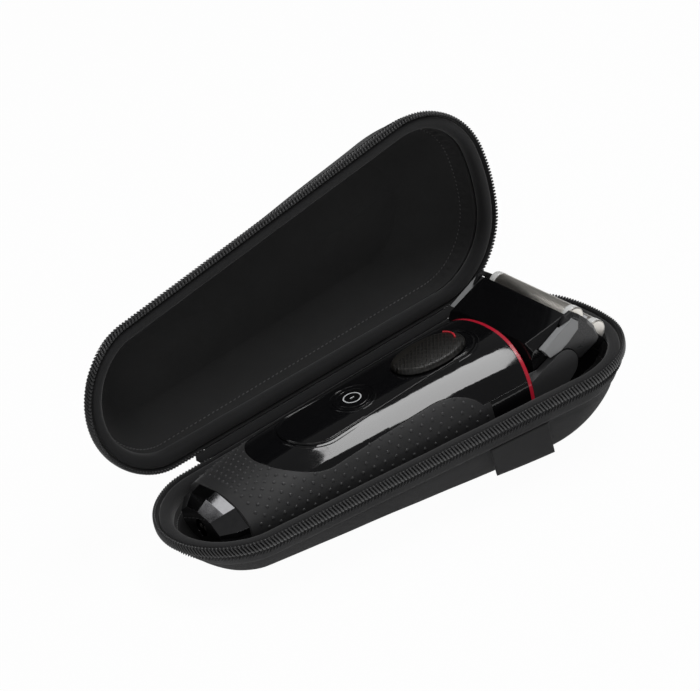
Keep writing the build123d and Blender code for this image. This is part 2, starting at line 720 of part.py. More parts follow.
def charge_contacts():
    x, width, top, bottom = BODY_STATIONS[0]
    middle = (top + bottom) / 2 - FOOT_STEPS[-1][2]
    root = x - SEAM - FOOT_LENGTH + SOCKET_DEPTH
    length = SOCKET_DEPTH - CONTACT_DROP
    pin = Pos(root - length / 2, 0, middle) * Rot(0, 90, 0) * Cylinder(CONTACT_RADIUS, length)
    return Compound(children=[Pos(0, way * CONTACT_SPACING / 2, 0) * pin for way in (-1, 1)])


def chassis():
    """Inner frame that carries the battery, the motor and the circuit board."""
    length = CHASSIS_END - CHASSIS_START
    middle = (CHASSIS_START + CHASSIS_END) / 2
    plate = Pos(middle, 0, CHASSIS_TOP - CHASSIS_WALL / 2) * Box(length, CHASSIS_WIDTH, CHASSIS_WALL)
    plate &= body_form(SKIN_WALL + HOUSING_WALL + LOCK_GAP)
    height = BOARD_BOTTOM - CHASSIS_TOP
    for x in (BOARD_START + POST_INSET, BOARD_START + BOARD_LENGTH - POST_INSET):
        for way in (-1, 1):
            plate += Pos(x, way * POST_SIDE, CHASSIS_TOP + height / 2) * Cylinder(POST_RADIUS, height)
    return plate


def lying_can(start, length, radius, z):
    return Pos(start + length / 2, 0, z) * Rot(0, 90, 0) * Cylinder(radius, length)


def battery():
    z = CHASSIS_TOP + SEAM + BATTERY_RADIUS
    cell = lying_can(BATTERY_START, BATTERY_LENGTH, BATTERY_RADIUS, z)
    return cell + lying_can(BATTERY_START + BATTERY_LENGTH, BATTERY_NUB_LENGTH, BATTERY_NUB_RADIUS, z)


def motor():
    z = CHASSIS_TOP + SEAM + MOTOR_RADIUS
    can = lying_can(MOTOR_START, MOTOR_LENGTH, MOTOR_RADIUS, z)
    return can + lying_can(MOTOR_START + MOTOR_LENGTH, SHAFT_REACH, SHAFT_RADIUS, z)


def circuit_board():
    board = Box(BOARD_LENGTH, BOARD_WIDTH, BOARD_WALL)
    return Pos(BOARD_START + BOARD_LENGTH / 2, 0, BOARD_BOTTOM + BOARD_WALL / 2) * board


def trimmer_room():
    """The recess in the back that the long-hair trimmer slides in."""
    length = TRIMMER_LENGTH + BLADE_LENGTH + TRIMMER_TRAVEL + 2 * TRIMMER_GAP
    room = Box(length, TRIMMER_WIDTH + 2 * TRIMMER_GAP, TALL)
    return Pos(TRIMMER_START - TRIMMER_GAP + length / 2, 0, TRIMMER_TOP + TRIMMER_GAP - TALL / 2) * room


def trimmer_slide():
    plate = Box(TRIMMER_LENGTH, TRIMMER_WIDTH, TRIMMER_WALL)
    plate = fillet(plate.edges().filter_by(Axis.Z), TRIMMER_ROUND)
    for rib in range(TRIMMER_RIBS):
        groove = Box(TRIMMER_RIB_WIDTH, TRIMMER_RIB_LENGTH, 2 * TRIMMER_RIB_DEPTH)
        plate -= Pos(TRIMMER_RIB_START + rib * TRIMMER_RIB_PITCH, 0, -TRIMMER_WALL / 2) * groove
    return Pos(TRIMMER_START + TRIMMER_LENGTH / 2, 0, TRIMMER_TOP - TRIMMER_WALL / 2) * plate


def trimmer_blade():
    """Steel comb of the long-hair trimmer."""
    blade = Box(BLADE_LENGTH, BLADE_WIDTH, BLADE_WALL)
    pitch = BLADE_WIDTH / BLADE_TEETH
    for tooth in range(BLADE_TEETH):
        notch = Box(2 * BLADE_NOTCH_DEPTH, BLADE_NOTCH_WIDTH, 2 * BLADE_WALL)
        blade -= Pos(BLADE_LENGTH / 2, -BLADE_WIDTH / 2 + (tooth + 0.5) * pitch, 0) * notch
    x = TRIMMER_START + TRIMMER_LENGTH + BLADE_LENGTH / 2
    return Pos(x, 0, TRIMMER_TOP - TRIMMER_GAP - BLADE_WALL / 2) * blade


# ---- shaver head ----
HEAD_PLACE = Location((PIVOT_X, 0, PIVOT_Z), (0, HEAD_LEAN, 0))


def across(profile, half, offset=0.0):
    """A head piece with a side profile of (t, h) points, reaching half each way along the foils."""
    points = [Vector(t, 0, h) for t, h in profile]
    face = Face(Wire.make_polygon(points, close=True))
    return Pos(0, offset, 0) * extrude(face, half, Vector(0, 1, 0), both=True)


def pivot_disc(radius, inner, outer, way):
    """A disc about the swivel axis between two distances along it."""
    return Pos(0, way * (inner + outer) / 2, 0) * Rot(90, 0, 0) * Cylinder(radius, outer - inner)


def cover_span():
    return HEAD_HALF, HEAD_HALF + COVER_WALL + ARM_GAP


def arm(way, gap=0.0, turn=0.0):
    """One arm of the yoke, grown by a gap and turned about the swivel axis."""
    rise = PIVOT_Z - ARM_ROOT_Z
    run = PIVOT_X - ARM_ROOT_X
    plan = slot_face(-math.hypot(rise, run), ARM_ROOT_RADIUS + gap, 0, ARM_BOSS_RADIUS + gap)
    bar = Rot(90, 0, 0) * extrude(plan, ARM_WALL / 2 + gap, both=True)
    middle = HEAD_HALF + ARM_GAP + ARM_WALL / 2
    return Pos(PIVOT_X, way * middle, PIVOT_Z) * Rot(0, turn - math.degrees(math.atan2(rise, run)), 0) * bar


def yoke():
    """Neck of the shaver with the two arms that hold the head."""
    arm_inner = HEAD_HALF + ARM_GAP
    room = swivel_room(arm_inner)
    beyond = past_end(SEAM * 2 + TRIM_WIDTH)
    body = body_form(NECK_INSET) & beyond
    body -= Pos(NECK_END_X + BIG / 2, 0, 0) * Box(BIG, BIG, BIG)
    body -= Pos(0, 0, NECK_TOP_Z + BIG / 2) * Box(BIG, BIG, BIG)
    for way in (-1, 1):
        body += arm(way) & beyond
    body -= room
    plug = Pos(PLUG_START_X + PLUG_LENGTH / 2, 0, 0) * Box(PLUG_LENGTH, BIG, BIG)
    body += (plug & body_form(SKIN_WALL + HOUSING_WALL + 2 * SEAM)) - room
    axis = Pos(PIVOT_X, 0, PIVOT_Z)
    for way in (-1, 1):
        pin_end = HEAD_HALF + PIVOT_PIN_LENGTH
        body -= axis * pivot_disc(PIVOT_PIN_RADIUS + PIVOT_FIT, arm_inner - CLEAR, pin_end + ARM_GAP, way)
    return body - motor_shaft_room()


def motor_shaft_room():
    z = CHASSIS_TOP + SEAM + MOTOR_RADIUS
    length = NECK_END_X - PLUG_START_X + 2 * CLEAR
    return lying_can(PLUG_START_X - CLEAR, length, SHAFT_RADIUS + LOCK_GAP, z)


def head_frame():
    """Body of the swivel head, with its front wall, cassette pocket and pivot pins."""
    frame = across(HEAD_PROFILE, HEAD_HALF)
    frame -= across(DRIVE_ROOM, HEAD_HALF - HEAD_END_WALL)
    for way in (-1, 1):
        frame += pivot_disc(PIVOT_PIN_RADIUS, HEAD_HALF - CLEAR, HEAD_HALF + PIVOT_PIN_LENGTH, way)
        pocket = across(grown(RELEASE_PROFILE, RELEASE_GAP), RELEASE_TRAVEL + COVER_GAP, way * HEAD_HALF)
        frame -= pocket
    for way in (-1, 1):
        flat, low, side = [Vector(t, way * y, h) for t, y, h in FACE_BEVEL]
        outward = (side - flat).cross(low - flat) * way
        beyond = Plane(low, x_dir=low - flat, z_dir=outward) * Pos(0, 0, BIG / 2) * Box(BIG, BIG, BIG)
        frame -= beyond
    placed = HEAD_PLACE * frame
    bulge = Cylinder(BODY_END_RADIUS + TRIM_WIDTH + SEAM + ARM_GAP, BIG)
    return placed - Pos(BODY_END_X - BODY_END_RADIUS, 0, 0) * bulge


def grown(profile, amount):
    """A convex profile with every side moved outwards."""
    face = Face(Wire.make_polygon([Vector(t, h) for t, h in profile], close=True))
    wire = face.outer_wire().offset_2d(amount, Kind.INTERSECTION)
    ordered = [edge.position_at(0) for edge in wire.order_edges()]
    return [(point.X, point.Y) for point in ordered]


def side_cover(way):
    """Matte cover on one side of the head, open round the arm's swing and the release button."""
    inner, outer = cover_span()
    wall = (outer - inner) / 2
    middle = way * (inner + outer) / 2
    cover = across(COVER_PROFILE, wall - SEAM / 2, middle + way * SEAM / 2)
    outward = Axis((0, 0, 0), (0, way, 0))
    cover = chamfer(cover.edges().group_by(outward)[-1], COVER_BEVEL)
    cover -= across(grown(RELEASE_PROFILE, RELEASE_GAP), wall + CLEAR, middle)
    cover = HEAD_PLACE * cover
    for turn in (-SWIVEL_LIMIT, 0, SWIVEL_LIMIT):
        cover -= arm(way, COVER_GAP, turn)
    return cover


def release_button(way):
    """Button that frees the foil cassette, with a foot that is pressed into the head's pocket."""
    inner, outer = cover_span()
    middle = way * (inner + outer + RELEASE_RISE) / 2
    button = across(RELEASE_PROFILE, (outer + RELEASE_RISE - inner) / 2 - SEAM, middle)
    low = CASSETTE_H[0] - COVER_GAP
    beside_cassette = ((-TALL, low), (-TALL, TALL), (TALL, TALL), (TALL, low))
    return HEAD_PLACE * (button - across(beside_cassette, CASSETTE_HALF + RELEASE_TRAVEL + COVER_GAP))


def foil_arch(radius, half, leg):
    """A round-topped bar along the foils."""
    top = Rot(90, 0, 0) * Cylinder(radius, 2 * half)
    return top + Pos(0, 0, -leg / 2) * Box(2 * radius, 2 * half, leg) - Pos(0, 0, -leg - radius) * Box(
        4 * radius, 3 * half, 2 * radius
    )


def foil(t):
    """Thin arched foil with its two end caps."""
    sheet = foil_arch(FOIL_RADIUS, FOIL_HALF, FOIL_LEG)
    sheet = fillet(sheet.edges().filter_by(GeomType.CIRCLE), FOIL_END_ROUND)
    hollow = foil_arch(FOIL_RADIUS - FOIL_WALL, FOIL_HALF - FOIL_CAP_WALL, FOIL_LEG + CLEAR)
    return HEAD_PLACE * Pos(t, 0, FOIL_CENTRE_H) * (sheet - hollow)


def cutter(t):
    """Inner cutter block under a foil."""
    return HEAD_PLACE * Pos(t, 0, FOIL_CENTRE_H) * foil_arch(CUTTER_RADIUS, CUTTER_HALF, CUTTER_FOOT)


def cassette_frame():
    """Removable frame that carries both foils and the comb guard between them."""
    low, high = CASSETTE_H
    near, far = CASSETTE_T
    frame = across(((near, low), (near, high), (far, high), (far, low)), CASSETTE_HALF)
    frame = fillet(frame.edges().filter_by(Axis.Z), CASSETTE_ROUND)
    for t in (FOIL_FRONT_T, FOIL_REAR_T):
        room = FOIL_RADIUS + SLOT_GAP
        frame -= Pos(t, 0, 0) * Box(2 * room, 2 * (FOIL_HALF + SLOT_GAP), BIG)
    frame -= Pos(GUARD_T, 0, 0) * Box(GUARD_WIDTH + 2 * SLOT_GAP, 2 * (GUARD_HALF + SLOT_GAP), BIG)
    return HEAD_PLACE * frame


def comb_guard():
    """Toothed trimmer bar between the foils."""
    height = GUARD_TOP_H - GUARD_BOTTOM_H
    bar = Box(GUARD_WIDTH, 2 * GUARD_HALF, height)
    pitch = 2 * GUARD_HALF / GUARD_TEETH
    for tooth in range(GUARD_TEETH):
        notch = Box(GUARD_WIDTH * 2, GUARD_NOTCH_WIDTH, GUARD_TOOTH_DEPTH)
        y = -GUARD_HALF + (tooth + 0.5) * pitch
        bar -= Pos(0, y, height / 2 - GUARD_TOOTH_DEPTH / 2) * notch
    return HEAD_PLACE * Pos(GUARD_T, 0, (GUARD_TOP_H + GUARD_BOTTOM_H) / 2) * bar


def drive_bridge():
    """Oscillating bar that moves both cutters."""
    span = FOIL_REAR_T - FOIL_FRONT_T
    middle = (FOIL_REAR_T + FOIL_FRONT_T) / 2
    bar = Box(span + 2 * BRIDGE_END, 2 * BRIDGE_HALF, BRIDGE_WALL)
    bar = Pos(middle, 0, BRIDGE_H + BRIDGE_WALL / 2) * bar
    height = BRIDGE_PIN_TOP_H - BRIDGE_H
    for t in (FOIL_FRONT_T, FOIL_REAR_T):
        bar += Pos(t, 0, BRIDGE_H + height / 2) * Cylinder(BRIDGE_PIN_RADIUS, height)
    return HEAD_PLACE * bar


# ---- the whole part ----
def lid_piece(piece):
    """A lid piece: the base's piece mirrored in the meeting plane and swung open on the hinge."""
    closed = mirror(piece, Plane.XY)
    pivot = side_point(0, -HINGE_OFFSET)
    axis = Axis((pivot.X, pivot.Y, 0), (SIDE_DIR.X, SIDE_DIR.Y, 0))
    return closed.rotate(axis, -LID_OPEN_ANGLE)


def row_place():
    """Turns the finished part so that the base's flat bottom lies on z = 0."""
    lean = math.radians(TAPER_ANGLE)
    return Location((-HALF_DEPTH * math.sin(lean), 0, HALF_DEPTH * math.cos(lean)), (0, -TAPER_ANGLE, 0))


def case_pieces():
    half = {
        "shell": case_shell(),
        "lining": case_lining(),
        "lip": case_lip(),
        "zip_tape": zip_tape(),
        "zip_teeth": zip_teeth(),
        "zip_stops": zip_stops(),
    }
    pieces = {"base_" + name: piece for name, piece in half.items()}
    pieces |= {"lid_" + name: lid_piece(piece) for name, piece in half.items()}
    strip = hinge_strip()
    pieces |= {
        "hinge_strip_base": strip,
        "hinge_strip_lid": lid_piece(strip),
        "hinge_fold": hinge_fold(),
        "zip_slider": slider_place() * slider_plate(),
        "zip_puller": slider_place() * puller_plate(),
        "side_tag": side_tag(),
    }
    return pieces


def body_pieces():
    return {
        "front_panel": front_panel(),
        "control_panel": control_panel(),
        "rubber_grip": rubber_grip(),
        "rear_housing": rear_housing(),
        "power_button": power_button(),
        "lock_switch": lock_switch(),
        "trim_ring": trim_ring(),
        "end_cap": end_cap(),
        "charge_contacts": charge_contacts(),
        "chassis": chassis(),
        "battery": battery(),
        "motor": motor(),
        "circuit_board": circuit_board(),
        "trimmer_slide": trimmer_slide(),
        "trimmer_blade": trimmer_blade(),
        "yoke": yoke(),
    }


def head_pieces():
    return {
        "head_frame": head_frame(),
        "side_cover_left": side_cover(1),
        "side_cover_right": side_cover(-1),
        "release_button_left": release_button(1),
        "release_button_right": release_button(-1),
        "cassette_frame": cassette_frame(),
        "foil_front": foil(FOIL_FRONT_T),
        "foil_rear": foil(FOIL_REAR_T),
        "cutter_front": cutter(FOIL_FRONT_T),
        "cutter_rear": cutter(FOIL_REAR_T),
        "comb_guard": comb_guard(),
        "drive_bridge": drive_bridge(),
    }


def build():
    pieces = case_pieces()
    for name, piece in (body_pieces() | head_pieces()).items():
        pieces[name] = Pos(0, 0, -SHAVER_DROP) * piece
    return pieces


if __name__ == "__main__":
    os.makedirs("parts", exist_ok=True)
    for name, piece in build().items():
        export_step(row_place() * piece, f"parts/{name}.step")
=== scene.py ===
import functools
from math import asin, atan, atan2, copysign, cos, degrees, exp, pi, radians, sin, sqrt, tau

import bpy
from bpy.props import FloatProperty, FloatVectorProperty, PointerProperty
from mathutils import Matrix, Vector, noise
from mathutils.bvhtree import BVHTree


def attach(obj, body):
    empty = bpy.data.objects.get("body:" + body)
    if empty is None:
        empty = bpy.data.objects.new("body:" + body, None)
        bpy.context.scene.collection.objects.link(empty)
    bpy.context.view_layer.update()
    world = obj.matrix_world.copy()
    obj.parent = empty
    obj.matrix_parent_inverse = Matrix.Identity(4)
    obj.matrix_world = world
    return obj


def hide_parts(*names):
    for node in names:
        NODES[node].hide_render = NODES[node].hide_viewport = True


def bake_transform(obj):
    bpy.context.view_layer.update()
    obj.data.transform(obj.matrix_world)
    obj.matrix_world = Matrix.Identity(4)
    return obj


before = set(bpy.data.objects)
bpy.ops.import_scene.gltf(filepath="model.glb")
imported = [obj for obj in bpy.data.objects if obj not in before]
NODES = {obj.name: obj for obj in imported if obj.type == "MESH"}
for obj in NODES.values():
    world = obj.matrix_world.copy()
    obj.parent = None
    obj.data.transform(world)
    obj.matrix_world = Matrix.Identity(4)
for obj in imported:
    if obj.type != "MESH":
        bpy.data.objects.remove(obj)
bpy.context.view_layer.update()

bl_info = {
    "name": "Shaver Case Finish",
    "version": (1, 0, 0),
    "blender": (4, 5, 0),
    "location": "3D View > Sidebar > Shaver Case",
    "description": "Cloth, zip, rubber, gloss and foil finishes for a shaver in its zipped hard case",
    "category": "Object",
}

MM = 0.001

# The case's own frame, in millimetres: x along it, y across it towards the hinge, z = 0 where the
# two halves meet. CASE and LID carry a point of the base or of the lid into the shared frame.
TIP = 97.5
WIDE_END_RADIUS = 78.0
WIDE_CORNER_RADIUS = 33.5
NARROW_END_RADIUS = 32.0
NARROW_CORNER_RADIUS = 24.0
SIDE_HALF_WIDTH = 36.15
SIDE_FLARE = 0.073
HALF_DEPTH = 28.5
DEPTH_TAPER = 0.08
BOTTOM_INSET = 19.0
BOTTOM_MIDDLE = Vector((6, 0, 0))
ROUNDING_POWER = 1.4
WIDE_TUCK = 8.0
WIDE_SOFTENING = 6.0
NARROW_TUCK = 0.5
NARROW_SOFTENING = 3.0
TUCK_POWER = 1.6
LID_ANGLE = 91.5
LIP_BOTTOM = 6.5
LINING_INSET, LINING_FLOOR = 4.65, 4.1
SEAM_DEPTH = 12.0
TAPE_EDGE_DEPTH = 11.4
PUCKER_SPACING, PUCKER_REACH = 1.45, 85
ZIP_END_GAP = 2.6
HINGE_SPAN = (-58.0, 56.0)
SHEET_MAP, ROLL_MAP = 60, 17  # lengths of the cloth's UV map: down a sheet, and round a roll
LABEL_X, LABEL_LENGTH, LABEL_DROP = 45.5, 25.3, 10.6

# The shaver's own frame: x along it towards the head, z up out of the case. In the head's frame z
# runs out through the foils, and each foil's arch has its middle at its own x and at FOIL_HEIGHT.
SHAVER_DROP = 0.45
HEAD_PLACE, HEAD_ANGLE = (61, 0, 1.5), radians(48)
FOILS = (("front", -2.2), ("rear", 10.7))
FOIL_HEIGHT, FOIL_RADIUS = 17.2, 4.1
KEY_X = -13.0
PANEL_X = 31.0
LOCK_MIDDLE, LOCK_REACH = (21.6, -0.5), (15.3, 9.3)
GRIP_X, GRIP_LENGTH, GRIP_AXIS_Z = -70.0, 100, -4.5
DOT_COLUMNS = 30
CLEAR = 50  # farther from the shaver's axis than any of its skin

SIDE_TURN = atan(SIDE_FLARE)
SIDE = Vector((cos(SIDE_TURN), sin(SIDE_TURN), 0))
SIDE_IN = Vector((SIDE.y, -SIDE.x, 0))
SIDE_OUT = SIDE_IN * -1
LEAN = atan(DEPTH_TAPER)
HEAD_TURN = HEAD_ANGLE - LEAN
TO_METRES = Matrix.Scale(MM, 4)
CASE = (
    TO_METRES
    @ Matrix.Translation((-HALF_DEPTH * sin(LEAN), 0, HALF_DEPTH * cos(LEAN)))
    @ Matrix.Rotation(-LEAN, 4, "Y")
)
PIVOT = Vector((0, SIDE_HALF_WIDTH, 0)) - SIDE_IN
LID = (
    CASE
    @ Matrix.Translation(PIVOT)
    @ Matrix.Rotation(-radians(LID_ANGLE), 4, SIDE)
    @ Matrix.Translation(-PIVOT)
    @ Matrix.Scale(-1, 4, Vector((0, 0, 1)))
)
HALVES = (("base", CASE), ("lid", LID))
SHAVER = CASE @ Matrix.Translation((0, 0, -SHAVER_DROP))
HEAD = SHAVER @ Matrix.Translation(HEAD_PLACE) @ Matrix.Rotation(HEAD_ANGLE, 4, "Y")


# ---- the zip line ----
def end_centres(end_x, end_radius, corner_radius, sign):
    nose = Vector((end_x - sign * end_radius, 0, 0))
    start = Vector((0, SIDE_HALF_WIDTH, 0)) + SIDE_IN * corner_radius
    away = start - nose
    along = away.dot(SIDE)
    reach = end_radius - corner_radius
    return nose, start + SIDE * (-along + sign * sqrt(along**2 - away.dot(away) + reach**2))


@functools.cache
def line_parts(tuck=0.0):
    """Arcs and straights of the zip line's +y half, from the narrow tip to the wide tip. Lower down
    the ends tuck in and their corners soften by that share."""
    narrow_radius = NARROW_CORNER_RADIUS + NARROW_SOFTENING * tuck
    wide_radius = WIDE_CORNER_RADIUS + WIDE_SOFTENING * tuck
    narrow_tip, wide_tip = NARROW_TUCK * tuck - TIP, TIP - WIDE_TUCK * tuck
    narrow_nose, narrow_corner = end_centres(narrow_tip, NARROW_END_RADIUS, narrow_radius, -1)
    wide_nose, wide_corner = end_centres(wide_tip, WIDE_END_RADIUS, wide_radius, 1)
    ways = (narrow_corner - narrow_nose, SIDE_OUT, wide_corner - wide_nose)
    narrow_turn, side_turn, wide_turn = [atan2(way.y, way.x) for way in ways]
    return [
        ("arc", narrow_nose, NARROW_END_RADIUS, pi, narrow_turn),
        ("arc", narrow_corner, narrow_radius, narrow_turn, side_turn),
        ("line", narrow_corner + SIDE_OUT * narrow_radius, wide_corner + SIDE_OUT * wide_radius, 0, 0),
        ("arc", wide_corner, wide_radius, side_turn, wide_turn),
        ("arc", wide_nose, WIDE_END_RADIUS, wide_turn, 0.0),
    ]


LINE_PARTS = line_parts()


def part_length(part):
    if part[0] == "line":
        return (part[2] - part[1]).length
    return part[2] * abs(part[3] - part[4])


HALF_LINE = sum(part_length(part) for part in LINE_PARTS)
LINE = 2 * HALF_LINE


def edge(distance, tuck=0.0):
    """Point and outward direction of the zip line. Distance runs from the narrow tip along the
    hinge side to the wide tip and back along the front."""
    distance %= LINE
    front = distance > HALF_LINE
    left = LINE - distance if front else distance
    for level, part in zip(LINE_PARTS, line_parts(tuck)):
        length = part_length(level)
        if left <= length or level is LINE_PARTS[-1]:
            share = min(left / length, 1)
            if part[0] == "line":
                point, out = part[1].lerp(part[2], share), SIDE_OUT.copy()
            else:
                angle = part[3] + (part[4] - part[3]) * share
                out = Vector((cos(angle), sin(angle), 0))
                point = part[1] + out * part[2]
            break
        left -= length
    if front:
        point.y, out.y = -point.y, -out.y
    return point, out


def distance_of(x):
    """Distance along the zip line of the hinge-side point at x."""
    before = part_length(LINE_PARTS[0]) + part_length(LINE_PARTS[1])
    start = LINE_PARTS[2][1]
    return before + (x - start.x) / SIDE.x


HINGE_FROM, HINGE_TO = distance_of(HINGE_SPAN[0]), distance_of(HINGE_SPAN[1])


def wall(distance, curl, inset):
    """A point on the form's plan where its wall has curled in by that share, and the way out."""
    point, out = edge(distance, curl**TUCK_POWER)
    return point - out * (inset + (BOTTOM_INSET - inset) * curl), out


def bowl(distance, turn, inset, floor, centre=0.0):
    """A point on the base's rounded form: turn runs from 0 at the mouth to 1 at the flat bottom,
    and centre then draws the bottom in to its middle."""
    angle = turn * pi / 2
    level = sin(angle) ** (2 / ROUNDING_POWER)
    curl = 1 - max(cos(angle), 0) ** (2 / ROUNDING_POWER)
    point = wall(distance, curl, inset)[0].lerp(BOTTOM_MIDDLE, centre)
    tilt = atan(level * DEPTH_TAPER)
    depth = level * (HALF_DEPTH - floor)
    return Vector((point.x * cos(tilt), point.y, -depth - point.x * sin(tilt)))


def turn_at(depth):
    """The turn at which the form is that deep at mid length."""
    return asin((depth / HALF_DEPTH) ** (ROUNDING_POWER / 2)) / (pi / 2)


SEAM_TURN, TAPE_EDGE_TURN = turn_at(SEAM_DEPTH), turn_at(TAPE_EDGE_DEPTH)


def beside(distance, inset, depth):
    """A point that deep under the meeting plane and that far in from the side wall's own curve."""
    point, _ = edge(distance)
    level = max(depth, 0) / (HALF_DEPTH + point.x * DEPTH_TAPER)
    curl = 1 - (1 - level**ROUNDING_POWER) ** (1 / ROUNDING_POWER)
    spot, out = wall(distance, curl, inset)
    spot.z = -depth
    return spot, out


# ---- making pieces ----
def clear_selection():
    if bpy.context.object and bpy.context.object.mode != "OBJECT":
        bpy.ops.object.mode_set(mode="OBJECT")
    bpy.ops.object.select_all(action="DESELECT")


def select(piece):
    """Makes the piece the active one and the only one selected."""
    clear_selection()
    piece.select_set(True)
    bpy.context.view_layer.objects.active = piece


def wrapped_grid(name, columns, rows, shape, size=(1, 1)):
    """A flat grid whose points are laid on shape(u, v), with a UV map of the given size."""
    clear_selection()
    bpy.ops.mesh.primitive_grid_add(x_subdivisions=columns, y_subdivisions=rows, size=2)
    piece = bpy.context.object
    piece.name = name
    mesh = piece.data
    for loop in mesh.loops:
        u, v = [(c + 1) / 2 for c in mesh.vertices[loop.vertex_index].co.xy]
        mesh.uv_layers[0].data[loop.index].uv = (u * size[0], v * size[1])
    for vertex in mesh.vertices:
        vertex.co = shape((vertex.co.x + 1) / 2, (vertex.co.y + 1) / 2)
    return piece


def close_up(piece):
    """Welds the seam and turns every face outwards."""
    select(piece)
    bpy.ops.object.mode_set(mode="EDIT")
    bpy.ops.mesh.select_all(action="SELECT")
    bpy.ops.mesh.remove_doubles(threshold=0.000004)
    bpy.ops.mesh.normals_make_consistent(inside=False)
    bpy.ops.object.mode_set(mode="OBJECT")
    bpy.ops.object.shade_smooth()
    return piece


def thicken(piece, thickness, offset):
    select(piece)
    modifier = piece.modifiers.new("Thickness", "SOLIDIFY")
    modifier.thickness, modifier.offset = thickness * MM, offset
    bpy.ops.object.modifier_apply(modifier=modifier.name)


def linked(name, data):
    """A new object in the scene."""
    thing = bpy.data.objects.new(name, data)
    bpy.context.scene.collection.objects.link(thing)
    return thing


def joined(name, pieces):
    clear_selection()
    for piece in pieces:
        piece.select_set(True)
    bpy.context.view_layer.objects.active = pieces[0]
    if len(pieces) > 1:
        bpy.ops.object.join()
    piece = bpy.context.object
    piece.name = name
    return piece


def settle(piece):
    """Puts a piece's place into its mesh."""
    select(piece)
    bpy.ops.object.transform_apply(location=True, rotation=True, scale=True)
    return piece


def copied(model, places, name):
    """One piece made of a copy of the model at each place."""
    copies = []
    for place in places:
        one = linked(name, model.data.copy())
        one.data.transform(place)
        if place.is_negative:
            one.data.flip_normals()
        copies.append(one)
    bpy.data.objects.remove(model)
    return joined(name, copies)


def paint(piece, finish):
    piece.data.materials.clear()
    piece.data.materials.append(finish.material)


def dress(piece, finish, body, slot, *nodes):
    """Gives a piece its finish and the body it rides on, and hides the CAD nodes it stands for. The slot
    is not used.
    """
    paint(piece, finish)
    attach(piece, body)
    if nodes:
        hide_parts(*nodes)


def finish_nodes(finish, *nodes):
    """Gives CAD nodes their finish."""
    for node in nodes:
        paint(NODES[node], finish)


def framed(place, spot, x, y, z):
    """A frame at the spot, with these three axes."""
    return place @ Matrix.Translation(spot) @ Matrix((x, y, z)).transposed().to_4x4()


class Skin:
    """The outside of some CAD nodes, to lay small pieces on."""

    def __init__(self, *nodes):
        points, faces = [], []
        for node in nodes:
            mesh = (NODES[node] if node in NODES else bpy.data.objects[node]).data
            start = len(points)
            points += [vertex.co.copy() for vertex in mesh.vertices]
            faces += [[start + i for i in face.vertices] for face in mesh.polygons]
        self.tree = BVHTree.FromPolygons(points, faces)

    def seen(self, start, way):
        """First point met from start along way, both in the shaver's frame, and its normal."""
        origin = SHAVER @ Vector(start)
        direction = (SHAVER.to_3x3() @ Vector(way)).normalized()
        point, normal, _, _ = self.tree.ray_cast(origin, direction)
        if point is None:
            return None, None
        return point, normal if normal.dot(direction) < 0 else -normal

    def under(self, x, y):
        return self.seen((x, y, CLEAR), (0, 0, -1))


def laid_line(name, points, normals, radius, sink, closed=False):
    """A thin raised line through points on a surface."""
    clear_selection()
    bpy.ops.curve.primitive_nurbs_path_add()
    line = bpy.context.object
    line.name = name
    data = line.data
    data.splines.clear()
    spline = data.splines.new("POLY")
    spline.points.add(len(points) - 1)
    for spot, point, normal in zip(spline.points, points, normals):
        spot.co = (*(point + normal * (radius - sink)), 1)
    spline.use_cyclic_u = closed
    data.dimensions = "3D"
    data.bevel_depth = radius
    data.bevel_resolution = 3
    data.use_fill_caps = True
    line.location = (0, 0, 0)
    select(line)
    bpy.ops.object.convert(target="MESH")
    bpy.ops.object.shade_smooth()
    return settle(bpy.context.object)


# ---- materials ----
def maths(operation):
    """A method of Value that adds one maths node."""

    def method(self, *others):
        return self.finish.value("ShaderNodeMath", {"operation": operation}, [self, *others])

    return method


class Value:
    """A shader number that takes part in plain arithmetic."""

    def __init__(self, finish, socket):
        self.finish = finish
        self.socket = socket

    def __rsub__(self, other):
        return self.finish.value("ShaderNodeMath", {"operation": "SUBTRACT"}, [other, self])

    def ramp(self, low, high):
        settings = {"interpolation_type": "SMOOTHSTEP"}
        return self.finish.value("ShaderNodeMapRange", settings, [self, low, high])

    __add__ = __radd__ = maths("ADD")
    __sub__ = maths("SUBTRACT")
    __mul__ = __rmul__ = maths("MULTIPLY")
    __truediv__ = maths("DIVIDE")
    sine = maths("SINE")
    angle = maths("ARCTAN2")
    size = maths("ABSOLUTE")
    power = maths("POWER")
    most = maths("MAXIMUM")
    part = maths("FRACT")
    floor = maths("FLOOR")
    over = maths("GREATER_THAN")
    under = maths("LESS_THAN")


